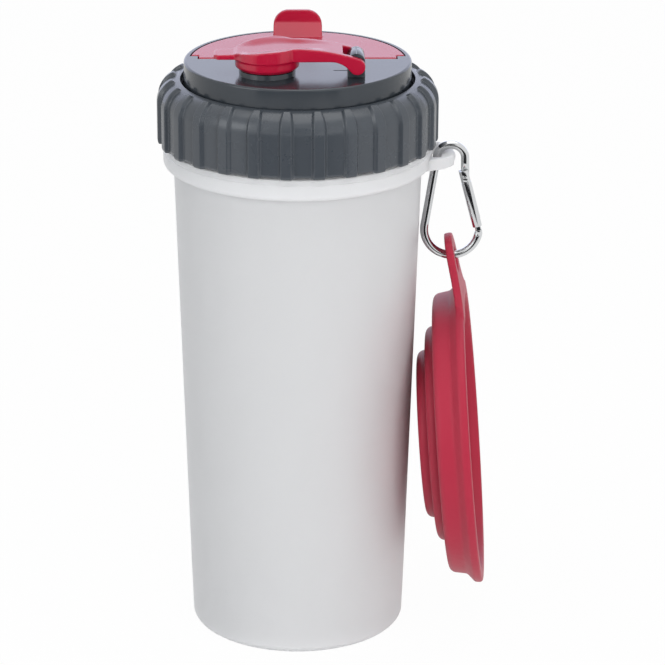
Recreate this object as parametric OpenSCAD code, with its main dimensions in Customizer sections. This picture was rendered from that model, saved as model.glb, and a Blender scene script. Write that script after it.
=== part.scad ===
// Two-chamber travel bottle for a dog: a divided cup for water and dry food, a screw ring
// that clamps a lid with a flip spout and a hinged food flap, and a folding silicone bowl
// that hangs from a lug on the cup by a snap hook.
// The bottle stands on the plane z = 0 with its axis on Z. The spout side faces -Y.

/* [Cup] */
// Outer radius of the cup wall at the base
cup_base_r = 43.8; // [42:0.1:45]
// Outer radius of the cup wall under the flange
cup_top_r = 49.8; // [48.5:0.1:50.5]
// Thickness of the cup wall
cup_wall = 2.2; // [1.6:0.1:3]
// Thickness of the cup floor
cup_floor = 2.8; // [2:0.1:5]
// Radius of the rounded edge at the base
cup_edge_r = 2.6; // [1:0.1:4]
// Depth of the recess under the base
foot_recess = 1.2; // [0.5:0.1:1.8]
// Width of the ring that the cup stands on
foot_ring_w = 2.4; // [1.5:0.1:5]
// Thickness of the wall between the water and the food
divider_t = 1.8; // [1.2:0.1:3]
// Gap between the divider or the lug and the wall that each is joined to
joint_gap = 0.1; // [0.05:0.05:0.3]
// Height of the underside of the flange
flange_z = 197.4; // [150:0.5:220]
// Height of the flange
flange_h = 8.8; // [7:0.1:12]
// Outer radius of the flange
flange_r = 53.9; // [52.5:0.1:55]
// Radius of the lower edge of the flange
flange_edge_r = 2.2; // [1:0.1:3]
// Height of the fine step round the flange
flange_step_z = 6.4; // [5:0.1:6.6]
// Depth of the fine step round the flange
flange_step = 0.35; // [0.2:0.05:0.6]
// Outer radius of the neck
neck_r = 49.0; // [48:0.1:50]
// Height of the neck above the flange
neck_h = 14.8; // [14.2:0.1:20]

/* [Carrying lug] */
// Reach of the lug beyond the flange
lug_out = 9.6; // [8.6:0.1:12]
// Radius of the outer end of the lug
lug_end_r = 13.8; // [13:0.1:16]
// Thickness of the lug
lug_t = 4.6; // [4:0.1:5]
// Width of the slot in the lug
lug_slot_w = 4.4; // [4.3:0.1:4.6]
// Length of the slot in the lug
lug_slot_l = 19; // [14:0.5:21]
// Radius where the lug flares into the flange
lug_root_r = 6; // [3:0.5:9]

/* [Thread] */
// Rise of the ring in one full turn
thread_lead = 9; // [9:0.1:10]
// Height of a thread ridge out of its wall
thread_depth = 1.5; // [1.2:0.1:1.7]
// Width of a thread ridge at its root
thread_w = 1.9; // [1.4:0.1:2]
// Length of one thread ridge in degrees
thread_arc = 75; // [50:5:80]
// Free gap between the thread of the ring and the neck
thread_gap = 0.5; // [0.3:0.05:0.7]

/* [Screw ring] */
// Radius over the grip ribs
ring_r = 56.0; // [55.8:0.1:58]
// Height of the screw ring
ring_h = 25.4; // [25:0.1:28]
// Gap between the flange and the ring
ring_lift = 0.8; // [0.5:0.1:1.5]
// Radius of the round shoulder of the ring
ring_shoulder_r = 8.6; // [6:0.1:9]
// Number of grip ribs
rib_count = 27; // [18:1:32]
// Height of a grip rib
rib_h = 1.3; // [0.6:0.1:1.4]
// Width of a grip rib at its foot
rib_w = 6.8; // [4:0.1:7.5]
// Width of a grip rib at its crest
rib_crest_w = 3.8; // [2:0.1:4]
// Turn of the first grip rib from the front
rib_phase = 8.66; // [0:0.01:13]
// Thickness of the lip over the lid
lip_t = 4.5; // [3:0.1:5]

/* [Lid] */
// Step in from the outside of the neck to the lid disc
disc_inset = 3.7; // [3.2:0.1:4]
// Height of the lid disc above the ring
disc_rise = 7.6; // [6:0.1:10]
// Radius of the upper edge of the lid disc
disc_edge_r = 0.9; // [0.4:0.1:1.5]
// Thickness of the top of the lid
plate_t = 5.0; // [4.6:0.1:7]
// Thickness of the skirt of the lid
skirt_t = 3.0; // [2:0.1:4]
// Radial gap between the lid disc and the lip of the ring
lip_gap = 1.4; // [0.6:0.1:1.6]
// Thickness of the lid flange under the lip
lid_flange_t = 4.7; // [3.5:0.1:5]
// Thickness of the web that continues the divider
web_t = 4.0; // [3:0.1:6]
// Thickness of the flat gasket and of the divider seal
gasket_t = 1.6; // [1:0.1:2.5]
// Free gap between pieces that only rest on each other
rest_gap = 0.3; // [0.2:0.05:0.4]

/* [Food flap] */
// Thickness of the flap
flap_t = 3.0; // [2.6:0.1:3.4]
// Gap round the flap
flap_gap = 0.4; // [0.3:0.05:0.6]
// Width of the rim of the disc outside the flap
flap_rim_w = 2.0; // [1.6:0.1:2.6]
// Distance of the flap hinge behind the middle of the lid
flap_axis_y = 2.2; // [2:0.1:4]
// Radius of the hinge barrel of the flap
barrel_r = 1.75; // [1.6:0.05:1.8]
// Length of the ear at each end of the hinge barrel
ear_l = 5.6; // [5:0.1:8]
// Radius of the flap hinge pins
flap_pin_r = 0.9; // [0.7:0.05:1]
// Length of a flap hinge pin
flap_pin_l = 6.4; // [5:0.1:7]
// Cover of plastic outside a flap hinge pin
pin_cover = 1.6; // [1.2:0.1:2]
// Radius of the food hatch
hatch_r = 38.5; // [34:0.5:39]
// Distance of the straight edge of the hatch behind the middle of the lid
hatch_y = 6.4; // [6:0.1:9]
// Depth of the seal of the flap
flap_seal_h = 2.8; // [2:0.1:4]
// Width of the seal of the flap
flap_seal_w = 2.0; // [1.4:0.1:3]
// Width of the thumb tab of the flap
tab_w = 19.8; // [14:0.1:24]
// Height of the thumb tab above the flap
tab_h = 9.8; // [8:0.1:12]
// Thickness of the thumb tab
tab_t = 2.2; // [1.6:0.1:3]
// Radius of the corners of the thumb tab
tab_corner_r = 6.0; // [3:0.5:7]
// Distance of the foot of the thumb tab behind the middle of the lid
tab_foot_y = 33.4; // [30:0.1:34]

/* [Spout] */
// Distance of the spout left of the middle of the lid
spout_x = 11.9; // [10:0.1:14]
// Distance of the spout in front of the middle of the lid
spout_y = 21.2; // [20.5:0.1:24]
// Radius of the seat ring round the spout
seat_r = 11.1; // [10.6:0.1:12]
// Height of the seat ring
seat_h = 2.0; // [1.5:0.1:2.2]
// Outer radius of the spout
spout_r = 8.6; // [8:0.1:8.8]
// Radius of the bore of the spout
spout_bore_r = 7.0; // [5:0.1:7.2]
// Height of the spout above the lid
spout_h = 4.4; // [3.6:0.1:4.5]

/* [Spout lever] */
// Height of the underside of the lever above the lid
lever_z = 6.7; // [6.5:0.1:8]
// Greatest height of the lever above its underside
lever_rise = 5.3; // [4.5:0.1:6]
// Radius of the arch of the lever
lever_arch_r = 90; // [70:1:120]
// Radius of the round part over the spout
lever_bulge_r = 13.4; // [13:0.1:15]
// Distance of the lever hinge right of the middle of the lid
lever_axis_x = 23.1; // [22:0.1:26]
// Height of the lever hinge above the lid
lever_axis_z = 4.8; // [4.6:0.1:5.6]
// Radius of the round end of a lever arm
arm_end_r = 3.2; // [2.8:0.1:3.4]
// Width over both arms of the lever
fork_w = 17.8; // [16:0.1:19]
// Thickness of an arm of the lever
arm_t = 3.0; // [2.4:0.1:3.4]
// Width of the waist between the bulge and the fork
waist_w = 17.2; // [15:0.1:18]
// Reach of the thumb tip left of the middle of the lid
thumb_reach = 32.8; // [30:0.1:36]
// Width of the thumb tip
thumb_w = 10.2; // [8:0.1:12]
// Thickness of the thumb tip
thumb_t = 1.8; // [1.4:0.1:2.4]
// Radius of the cap ring over the spout
cap_ring_r = 12.6; // [12:0.1:12.9]
// Width of the hinge post on the lid
post_w = 6.8; // [6:0.1:7.2]
// Gap between the fork and the hinge post
post_gap = 0.2; // [0.1:0.05:0.4]
// Height of the hinge post above the lid
post_h = 9.4; // [9:0.1:10]
// Free space between the fork and the left side of the post
fork_space = 1.8; // [1.6:0.1:3]
// Radius of the lever hinge pin
lever_pin_r = 1.2; // [0.8:0.05:1.4]
// Radial play of a pin that turns in its bore
pin_play = 0.05; // [0.03:0.01:0.08]
// Radial play of a pin that is pushed into its bore
press_play = 0.02; // [0.01:0.01:0.03]

/* [Snap hook] */
// Diameter of the wire
wire_d = 3.4; // [3:0.1:3.5]
// Radius of the wire centreline at the narrow end
hook_top_r = 5.7; // [5.7:0.05:6.2]
// Radius of the wire centreline at the wide end
hook_low_r = 11.05; // [10:0.05:11.2]
// Distance between the centres of the two ends
hook_span = 29.9; // [28:0.1:32]
// Lean of the hook away from the bottle
hook_lean = 1.4; // [0:0.1:2]
// Offset of the narrow end from the bar of the lug, outwards
hook_hang_x = 0.4; // [0.3:0.05:0.6]
// Drop of the narrow end from the middle of the bar of the lug
hook_hang_z = 1.0; // [0.8:0.05:1.1]
// Radius of the gate tube
gate_r = 2.05; // [1.9:0.05:2.2]
// Lean of the gate from upright
gate_lean = 13.2; // [12.6:0.1:13.8]
// Distance of the gate rivet below the middle of the narrow end
rivet_drop = 8.5; // [8.2:0.1:9]
// Radius of the gate rivet
rivet_r = 0.8; // [0.6:0.05:0.9]
// Length of the gate below its rivet
gate_l = 20.9; // [20.4:0.1:21.2]
// Length of the gate above its rivet
gate_head = 3.4; // [3:0.1:3.6]
// Thickness of the flat tongues at the ends of the wire
tongue_t = 1.4; // [1:0.1:1.6]
// Side play of a tongue in its slot
tongue_play = 0.15; // [0.1:0.05:0.3]

/* [Bowl] */
// Outer radius of the rim of the bowl
bowl_r = 62.5; // [61:0.5:64]
// Thickness of the edge of the rim
rim_t = 3.2; // [2.6:0.1:4]
// Depth at which the underside of the rim meets the wall
rim_depth = 6.2; // [5:0.1:7]
// Outer radius of the first wall
wall_r = 58.0; // [56:0.1:58.5]
// Outer radius of the middle ring
middle_r = 44.4; // [43:0.1:45.5]
// Outer radius of the base of the bowl
base_r = 34.7; // [32:0.1:35.5]
// Thickness of the silicone walls
bowl_wall = 1.9; // [1.6:0.1:2.2]
// Folded depth of the first wall
wall_depth = 13.5; // [12.5:0.1:14.5]
// Folded depth of the middle ring
middle_depth = 17.5; // [17:0.1:18]
// Folded depth of the bowl
bowl_depth = 21.6; // [21:0.1:21.8]
// Height of the middle ring and of the base
stage_h = 13.5; // [12:0.1:14]
// Radius of the rounded edges of the stages
stage_edge_r = 3.0; // [1.5:0.1:3.5]
// Width of the shelf inside a stage
shelf_w = 7.7; // [5:0.1:7.8]
// Width of the shelf inside the middle ring
middle_shelf_w = 5.4; // [4:0.1:5.5]
// Thickness of the folding webs
fold_t = 0.9; // [0.6:0.1:1.2]
// Lean of the bowl from upright
bowl_lean = 5.0; // [4:0.1:6]
// Turn of the bowl towards the front
bowl_yaw = 3.5; // [2:0.5:6]
// Distance of the end of the loop from the axis of the bowl
loop_reach = 86.6; // [84:0.1:88]
// Radius of the end of the loop
loop_r = 11.0; // [9:0.1:12]
// Radius of the hole in the loop
loop_hole_r = 5.0; // [4.5:0.1:5.5]
// Thickness of the loop
loop_t = 3.2; // [2.6:0.1:3.6]
// Bend of the loop out of the plane of the rim
loop_bend = 7.0; // [5:0.5:10]
// Width of the loop beyond its hole
loop_end_w = 6.5; // [6:0.1:8]
// Play between the hook and the upper side of the hole
loop_play = 0.9; // [0.8:0.05:1.1]

/* [Hidden] */

// A little extra length for cuts that pass through a face
cut = 0.5;
$fn = 48;

// Heights along the bottle
flange_top = flange_z + flange_h;
neck_top = flange_top + neck_h;
ring_low = flange_top + ring_lift;
ring_top = ring_low + ring_h;
disc_top = ring_top + disc_rise;
gasket_low = neck_top + rest_gap;
lid_low = gasket_low + gasket_t;
lid_flange_top = lid_low + lid_flange_t;
plate_low = disc_top - plate_t;

// Radii of the closure, from the neck outwards
neck_in_r = neck_r - cup_wall;
disc_r = neck_r - disc_inset;
crest_r = neck_r + thread_depth;
ring_bore_r = crest_r + thread_gap;
ring_core_r = ring_r - rib_h;
lip_r = disc_r + lip_gap;
lid_flange_r = ring_bore_r - 2 * rest_gap;
skirt_in_r = disc_r - skirt_t;

// Thread ridges: two starts of two ridges each
thread_top = neck_top - 4.5;
thread_tilt = atan(thread_lead / (2 * PI * neck_r));
ridge_crest_w = thread_w * 0.55;

// Points along an arc from angle a0 to a1 in n steps
function arc(cx, cy, r, a0, a1, n = 6) =
    [for (i = [0:n]) let (a = a0 + (a1 - a0) * i / n) [cx + r * cos(a), cy + r * sin(a)]];

// Mirror of a list of points about the first axis, in reverse order
function mirrored(p) = [for (i = [len(p) - 1:-1:0]) [p[i][0], -p[i][1]]];

function wall_outer_at(z) = cup_base_r + (cup_top_r - cup_base_r) * z / flange_z;

// Outline of a ridge of the thread from a wall at radius r, out (1) or in (-1)
function ridge_outline(r, way) = [
    [r - way * cut, -thread_w / 2],
    [r + way * thread_depth, -ridge_crest_w / 2],
    [r + way * thread_depth, ridge_crest_w / 2],
    [r - way * cut, thread_w / 2]];

module ridges(r, way, top) {
    for (start = [0:1], step = [0:1])
        rotate([0, 0, 180 * start - 90 * step])
            translate([0, 0, top - thread_lead / 4 * step])
                rotate([thread_tilt, 0, 0])
                    rotate([0, 0, -thread_arc / 2])
                        rotate_extrude(angle = thread_arc, $fn = 96)
                            polygon(ridge_outline(r, way));
}

// Cup

cup_outer = concat(
    [[0, foot_recess], [cup_base_r - cup_edge_r - foot_ring_w, foot_recess],
     [cup_base_r - cup_edge_r - foot_ring_w, 0]],
    arc(cup_base_r - cup_edge_r, cup_edge_r, cup_edge_r, -90, 0),
    [[wall_outer_at(flange_z - 1), flange_z - 1], [wall_outer_at(flange_z) + 1, flange_z]],
    arc(flange_r - flange_edge_r, flange_z + flange_edge_r, flange_edge_r, -90, 0),
    [[flange_r, flange_z + flange_step_z], [flange_r - flange_step, flange_z + flange_step_z + flange_step],
     [flange_r - flange_step, flange_top], [neck_r, flange_top], [neck_r, neck_top - cut],
     [neck_r - cut, neck_top], [0, neck_top]]);

chamber_low = foot_recess + cup_floor;
chamber_edge_r = cup_edge_r;

// Inside of the cup, smaller all round by a gap
function chamber_outline(gap) = concat(
    [[0, chamber_low + gap]],
    arc(wall_outer_at(chamber_low) - cup_wall - chamber_edge_r, chamber_low + chamber_edge_r,
        chamber_edge_r - gap, -90, 0),
    [[wall_outer_at(flange_z) - cup_wall - gap, flange_z - cup_wall], [neck_in_r - gap, flange_top],
     [neck_in_r - gap, neck_top + cut], [0, neck_top + cut]]);

// Plan of the lug: a round end that flares into the flange
lug_reach = flange_r + lug_out;
lug_x = lug_reach - lug_end_r;
root_far = flange_r + lug_root_r;
root_near = lug_end_r + lug_root_r;
root_x = (root_far * root_far - root_near * root_near + lug_x * lug_x) / (2 * lug_x);
root_y = sqrt(root_far * root_far - root_x * root_x);
root_turn = atan2(root_y, root_x - lug_x);
root_side = atan2(root_y, root_x);
lug_half = concat(
    arc(lug_x, 0, lug_end_r, 0, root_turn, 8),
    arc(root_x, root_y, lug_root_r, 180 + root_turn, 180 + root_side, 6),
    [[neck_r * cos(root_side), neck_r * sin(root_side)]]);
lug_plan = concat(mirrored(lug_half), lug_half);
lug_mid_z = flange_z + 0.2 + lug_t / 2;
slot_out_x = lug_reach - lug_t - 1.4;
slot_mid_x = slot_out_x - lug_slot_w / 2;
bar_x = lug_reach - lug_t / 2 - 0.1;

// Shallow notch in the flange behind the slot, so that the wire passes freely
module lug_notch() {
    translate([slot_out_x - lug_slot_w, -lug_slot_l / 2 + 1, lug_mid_z - lug_t / 2 - 1])
        cube([lug_slot_w / 2, lug_slot_l - 2, lug_t + 1.6]);
}

module lug_slot() {
    translate([slot_mid_x, 0, lug_mid_z - lug_t / 2 - cut])
        linear_extrude(lug_t + 2 * cut) {
            square([lug_slot_w, lug_slot_l - lug_slot_w], center = true);
            for (s = [-1, 1])
                translate([0, s * (lug_slot_l - lug_slot_w) / 2]) circle(d = lug_slot_w);
        }
}

// Round bar at the outer end of the lug, which the hook hangs on
bar_r = lug_t / 2 + 0.05;
bar_turn_r = lug_end_r - bar_r - 0.15;
bar_turn = 31;
bar_half = 4.5;

module lug_bar() {
    translate([lug_x, 0, lug_mid_z]) rotate([0, 0, -bar_turn])
        rotate_extrude(angle = 2 * bar_turn, $fn = 96) translate([bar_turn_r, 0]) circle(r = bar_r);
}

// What makes room for the round bar in the flat of the lug
module bar_room() {
    translate([slot_mid_x, -bar_half, lug_mid_z - lug_t / 2 - cut])
        cube([lug_end_r, 2 * bar_half, lug_t + 2 * cut]);
}

module cup() {
    color([0.84, 0.86, 0.86, 0.85])
    difference() {
        union() {
            rotate_extrude($fn = 96) polygon(cup_outer);
            ridges(neck_r, 1, thread_top);
        }
        rotate_extrude($fn = 96) polygon(chamber_outline(0));
        lug_notch();
    }
}

module cup_lug() {
    color([0.84, 0.86, 0.86, 0.85])
    union() {
        difference() {
            translate([0, 0, lug_mid_z - lug_t / 2]) linear_extrude(lug_t) polygon(lug_plan);
            lug_slot();
            bar_room();
            cylinder(r = flange_r + joint_gap, h = neck_top, $fn = 96);
        }
        lug_bar();
    }
}

module cup_divider() {
    color([0.84, 0.86, 0.86, 0.85])
    intersection() {
        rotate_extrude($fn = 96) polygon(chamber_outline(joint_gap));
        translate([-flange_r, -divider_t / 2, 0]) cube([2 * flange_r, divider_t, neck_top]);
    }
}

// Screw ring

// Outside of the ring: a wall of radius r with a round shoulder of radius rr under top
function ring_shoulder(r, top, rr, n) = concat([[r, ring_low + cut]], arc(r - rr, top - rr, rr, 0, 90, n));

ring_outline = concat(
    [[ring_bore_r, ring_low], [ring_core_r - cut, ring_low]],
    ring_shoulder(ring_core_r, ring_top, ring_shoulder_r, 8),
    [[lip_r, ring_top], [lip_r, ring_top - lip_t], [ring_bore_r, ring_top - lip_t]]);

// Envelope of the ribs, and the toothed plan that is cut out of it
rib_foot_r = ring_bore_r + 0.4;
rib_top = ring_top - 0.7;
rib_outline = concat(
    [[rib_foot_r, ring_low], [ring_r - cut, ring_low]],
    ring_shoulder(ring_r, rib_top, ring_shoulder_r + 1, 7),
    [[lip_r + 1, ring_top - lip_t / 2], [rib_foot_r, ring_top - lip_t - 1]]);

function polar(r, a) = [r * cos(a), r * sin(a)];
rib_step = 360 / rib_count;
rib_a = asin(rib_w / 2 / ring_core_r);
crest_a = asin(rib_crest_w / 2 / ring_r);
teeth = [for (i = [0:rib_count - 1], k = [0:5])
    let (a = -90 + rib_phase + i * rib_step)
    k == 0 ? polar(rib_foot_r + 0.3, a - rib_a) :
    k == 1 ? polar(ring_core_r, a - rib_a) :
    k == 2 ? polar(ring_r + cut, a - crest_a) :
    k == 3 ? polar(ring_r + cut, a + crest_a) :
    k == 4 ? polar(ring_core_r, a + rib_a) : polar(rib_foot_r + 0.3, a + rib_a)];

module screw_ring() {
    color([0.31, 0.34, 0.36])
    union() {
        rotate_extrude($fn = 96) polygon(ring_outline);
        intersection() {
            rotate_extrude($fn = 96) polygon(rib_outline);
            translate([0, 0, ring_low - 1]) linear_extrude(ring_h + 2) polygon(teeth);
        }
        ridges(ring_bore_r, -1, thread_top - thread_lead / 4);
    }
}

// Lid

// Half moon of radius r behind the line y0
module half_moon(r, y0) {
    intersection() {
        circle(r = r, $fn = 96);
        translate([-r - 1, y0]) square([2 * r + 2, r + 1]);
    }
}

disc_outline = concat(
    [[0, plate_low], [skirt_in_r, plate_low], [skirt_in_r, lid_low], [lid_flange_r, lid_low],
     [lid_flange_r, lid_flange_top], [disc_r, lid_flange_top]],
    arc(disc_r - disc_edge_r, disc_top - disc_edge_r, disc_edge_r, 0, 90, 4),
    [[0, disc_top]]);

flap_r = disc_r - flap_rim_w - flap_gap;
flap_axis_z = disc_top - barrel_r - 0.1;
flap_floor = disc_top - flap_t - 0.2;
trough_floor = flap_axis_z - barrel_r - rest_gap;
ear_x = disc_r - ear_l;
barrel_half = ear_x - flap_gap;
pin_out_x = disc_r - pin_cover - 0.1;
ear_y = flap_axis_y + barrel_r + flap_gap;
notch_y = flap_axis_y + norm([ear_y - flap_axis_y, disc_top - flap_axis_z]) + flap_gap;
post_y = fork_w - 2 * arm_t - 2 * post_gap;
post_x = lever_axis_x - 0.3;
slit_l = 5.3;
slit_y = 17.3;
slit_w = 0.6;

module lever_post() {
    translate([post_x, -spout_y + post_y / 2, disc_top])
        rotate([90, 0, 0])
            linear_extrude(post_y) {
                translate([-post_w / 2, -1]) square([post_w, post_h - post_w / 2 + 1]);
                translate([0, post_h - post_w / 2]) circle(d = post_w);
            }
}

module lid_disc() {
    color([0.42, 0.45, 0.48])
    difference() {
        union() {
            rotate_extrude($fn = 96) polygon(disc_outline);
            translate([-skirt_in_r - 1, -web_t / 2, lid_low])
                cube([2 * skirt_in_r + 2, web_t, plate_low - lid_low + 1]);
            translate([-spout_x, -spout_y, plate_low + 1])
                cylinder(r = seat_r, h = plate_t - 1 + seat_h);
            translate([-spout_x, -spout_y, plate_low + 1])
                cylinder(r = spout_r, h = plate_t - 1 + spout_h);
            lever_post();
        }
        translate([-spout_x, -spout_y, plate_low - 1])
            cylinder(r = spout_bore_r, h = plate_t + spout_h + 2);
        // Recess for the flap, with an ear left at each end of the hinge
        difference() {
            translate([0, 0, flap_floor])
                linear_extrude(flap_t + 1) half_moon(flap_r + flap_gap, flap_axis_y);
            for (s = [-1, 1])
                translate([s > 0 ? ear_x : -ear_x - 10, 0, flap_floor - 1])
                    cube([10, ear_y, flap_t + 3]);
        }
        translate([-ear_x, flap_axis_y - barrel_r - flap_gap, trough_floor])
            cube([2 * ear_x, 2 * (barrel_r + flap_gap), flap_t + 2]);
        translate([0, 0, plate_low - 1]) linear_extrude(plate_t) half_moon(hatch_r, hatch_y);
        for (s = [-1, 1])
            translate([s * (ear_x - 2), flap_axis_y, flap_axis_z]) rotate([0, s * 90, 0])
                cylinder(r = flap_pin_r + press_play, h = 2 + disc_r - ear_x - pin_cover);
        translate([lever_axis_x, -spout_y + fork_w / 2, disc_top + lever_axis_z]) rotate([90, 0, 0])
            cylinder(r = lever_pin_r + press_play, h = fork_w);
        // Fine slit of the air vent beside the post
        translate([post_x - post_w / 2 - slit_l, -slit_y, disc_top - slit_w])
            cube([slit_l, slit_w, slit_w + 1]);
    }
}

module lid_gasket() {
    color([0.93, 0.93, 0.91])
    translate([0, 0, gasket_low])
        difference() {
            cylinder(r = neck_r + cut, h = gasket_t, $fn = 96);
            translate([0, 0, -1]) cylinder(r = skirt_in_r + 1, h = gasket_t + 2, $fn = 96);
        }
}

module divider_seal() {
    color([0.93, 0.93, 0.91])
    translate([0, 0, gasket_low])
        linear_extrude(gasket_t)
            intersection() {
                circle(r = skirt_in_r + 1 - rest_gap, $fn = 96);
                square([2 * disc_r, web_t], center = true);
            }
}

module flap_hinge_pins() {
    color("silver")
    for (s = [-1, 1])
        translate([s * (pin_out_x - flap_pin_l), flap_axis_y, flap_axis_z]) rotate([0, s * 90, 0])
            cylinder(r = flap_pin_r, h = flap_pin_l);
}

// Food flap

tab_knee = 5.2;
tab_back = [[tab_foot_y - 0.6, -flap_t / 2], [tab_foot_y, 0], [tab_foot_y + tab_knee - 0.4, tab_knee],
    [tab_foot_y + tab_knee + 0.4, tab_h], [tab_foot_y + tab_knee + 0.4 + tab_t, tab_h],
    [tab_foot_y + tab_knee + tab_t - 0.4, tab_knee - 0.6], [tab_foot_y + tab_t + 1, 0],
    [tab_foot_y + tab_t, -flap_t / 2]];
tab_front = concat(
    [[tab_w / 2, -flap_t]],
    arc(tab_w / 2 - tab_corner_r, tab_h - tab_corner_r, tab_corner_r, 0, 90),
    arc(-tab_w / 2 + tab_corner_r, tab_h - tab_corner_r, tab_corner_r, 90, 180),
    [[-tab_w / 2, -flap_t]]);

module flap_tab() {
    translate([0, 0, disc_top])
        intersection() {
            translate([-tab_w, 0, 0]) rotate([90, 0, 90]) linear_extrude(2 * tab_w) polygon(tab_back);
            translate([0, disc_r, 0]) rotate([90, 0, 0]) linear_extrude(disc_r) polygon(tab_front);
        }
}

module food_flap() {
    color([0.72, 0.04, 0.20])
    difference() {
        union() {
            difference() {
                translate([0, 0, disc_top - flap_t])
                    linear_extrude(flap_t) half_moon(flap_r, flap_axis_y);
                for (s = [-1, 1])
                    translate([s > 0 ? barrel_half : -barrel_half - 10, 0, disc_top - flap_t - 1])
                        cube([10, notch_y, flap_t + 2]);
            }
            translate([-barrel_half, flap_axis_y, flap_axis_z]) rotate([0, 90, 0])
                cylinder(r = barrel_r, h = 2 * barrel_half);
            flap_tab();
        }
        for (s = [-1, 1])
            translate([s * (pin_out_x - flap_pin_l - 1), flap_axis_y, flap_axis_z]) rotate([0, s * 90, 0])
                cylinder(r = flap_pin_r + pin_play, h = flap_pin_l + 1);
    }
}

module flap_seal() {
    color([0.93, 0.93, 0.91])
    translate([0, 0, disc_top - flap_t - flap_seal_h])
        linear_extrude(flap_seal_h)
            difference() {
                half_moon(hatch_r - 2 * rest_gap, hatch_y + 2 * rest_gap);
                half_moon(hatch_r - 2 * rest_gap - flap_seal_w, hatch_y + 2 * rest_gap + flap_seal_w);
            }
}

// Spout lever

lever_low = disc_top + lever_z;
lever_top = lever_low + lever_rise;
arch_x = lever_axis_x - 25.8;
arch_z = lever_top - lever_arch_r;
fork_x = post_x - post_w / 2 - fork_space;
neck_cut_x = fork_x - 4.4;
hook_room = arm_end_r + 1.5;

// Hollow under the neck of the lever, tangent to its underside and to the round end
axis_drop = lever_z - lever_axis_z;
neck_cut_dx = lever_axis_x - neck_cut_x;
neck_cut_r = (neck_cut_dx * neck_cut_dx + axis_drop * axis_drop - arm_end_r * arm_end_r)
    / (2 * (arm_end_r + axis_drop));
neck_cut_a = atan2(neck_cut_r - axis_drop, neck_cut_dx);

function arch_at(x) = arch_z + sqrt(lever_arch_r * lever_arch_r - (x - arch_x) * (x - arch_x));

// Side view of the lever, in x and z
thumb_in = -spout_x - lever_bulge_r + 1.2;
thumb_top = lever_low + thumb_t;
lever_side = concat(
    [[-thumb_reach, lever_low], [-thumb_reach, thumb_top - 0.3], [-thumb_reach + 0.6, thumb_top],
     [thumb_in - 1, thumb_top + 0.2], [thumb_in + 0.6, thumb_top + 1.2]],
    [for (i = [0:11]) let (x = thumb_in + 2 + (lever_axis_x - 3 - thumb_in - 2) * i / 11) [x, arch_at(x)]],
    arc(lever_axis_x, disc_top + lever_axis_z, arm_end_r, 75, neck_cut_a - 180, 14),
    arc(neck_cut_x, lever_low - neck_cut_r, neck_cut_r, neck_cut_a + 4, 90, 8));

// Plan of the lever, in x and y about its middle line
lever_half = concat(
    [[-thumb_reach, thumb_w / 2 - 2], [-thumb_reach + 1.5, thumb_w / 2]],
    [[thumb_in - 0.5, thumb_w / 2]],
    arc(-spout_x, 0, lever_bulge_r, 138, 42, 12),
    [[neck_cut_x - 3, waist_w / 2], [fork_x, fork_w / 2], [lever_axis_x + arm_end_r + 1, fork_w / 2]]);
lever_plan = concat(lever_half, mirrored(lever_half));

module lever_blank() {
    intersection() {
        translate([0, -spout_y, lever_low - hook_room - 4]) linear_extrude(30) polygon(lever_plan);
        translate([0, -spout_y + fork_w, 0]) rotate([90, 0, 0])
            linear_extrude(2 * fork_w) polygon(lever_side);
    }
}

cap_low = disc_top + seat_h + rest_gap;
cap_chamfer = 1.3;
cap_wall = cap_ring_r - spout_r - 0.8;
stopper_top = lever_low - 0.5;

module cap_ring() {
    translate([-spout_x, -spout_y, 0])
        rotate_extrude()
            polygon([[cap_ring_r - cap_wall, cap_low], [cap_ring_r - cap_chamfer, cap_low],
                [cap_ring_r, cap_low + cap_chamfer], [cap_ring_r, lever_low + 1],
                [0, lever_low + 1], [0, stopper_top], [cap_ring_r - cap_wall, stopper_top]]);
}

// Shallow dish along the top of the lever
dish_r = 60;
dish_x = -11;
dish_depth = 1.5;

module spout_lever() {
    color([0.72, 0.04, 0.20])
    difference() {
        union() {
            lever_blank();
            cap_ring();
        }
        translate([fork_x, -spout_y - fork_w / 2 + arm_t, disc_top])
            cube([lever_axis_x, fork_w - 2 * arm_t, lever_rise + lever_z + 2]);
        for (s = [-1, 1])
            translate([lever_axis_x, -spout_y + s * (fork_w / 2 - 1), disc_top + lever_axis_z])
                rotate([s * 90, 0, 0]) cylinder(r = lever_pin_r + pin_play, h = arm_t);
        translate([dish_x, -spout_y, lever_top - dish_depth + dish_r]) sphere(r = dish_r, $fn = 96);
    }
}

module spout_stopper() {
    color([0.93, 0.93, 0.91])
    translate([-spout_x, -spout_y, 0])
        rotate_extrude()
            polygon([[0, disc_top + spout_h - 1.4], [spout_bore_r - 1.1, disc_top + spout_h - 1.4],
                [spout_bore_r - 0.6, disc_top + spout_h + rest_gap],
                [cap_ring_r - cap_wall - 0.2, disc_top + spout_h + rest_gap],
                [cap_ring_r - cap_wall - 0.2, stopper_top], [0, stopper_top]]);
}

module lever_pin() {
    color("silver")
    translate([lever_axis_x, -spout_y + fork_w / 2 - 1.2, disc_top + lever_axis_z]) rotate([90, 0, 0])
        cylinder(r = lever_pin_r, h = fork_w - 2.4);
}

// Snap hook, drawn in the x-z plane about the middle of its narrow end

hook_x = bar_x + hook_hang_x;
hook_z = lug_mid_z - hook_hang_z;
leg_turn = asin((hook_low_r - hook_top_r) / hook_span);
leg_l = sqrt(pow(hook_span, 2) - pow(hook_low_r - hook_top_r, 2));
low_end_turn = 6;
stub_l = 4.2;
rivet_x = hook_top_r - 0.05;
gate_clear = 0.25;

// Ring segment of wire of centre radius r, from angle a0 to a1 in the x-z plane
module wire_arc(r, a0, a1) {
    rotate([90, 0, 0]) rotate([0, 0, a0])
        rotate_extrude(angle = a1 - a0) translate([r, 0]) circle(d = wire_d, $fn = 24);
}

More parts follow.
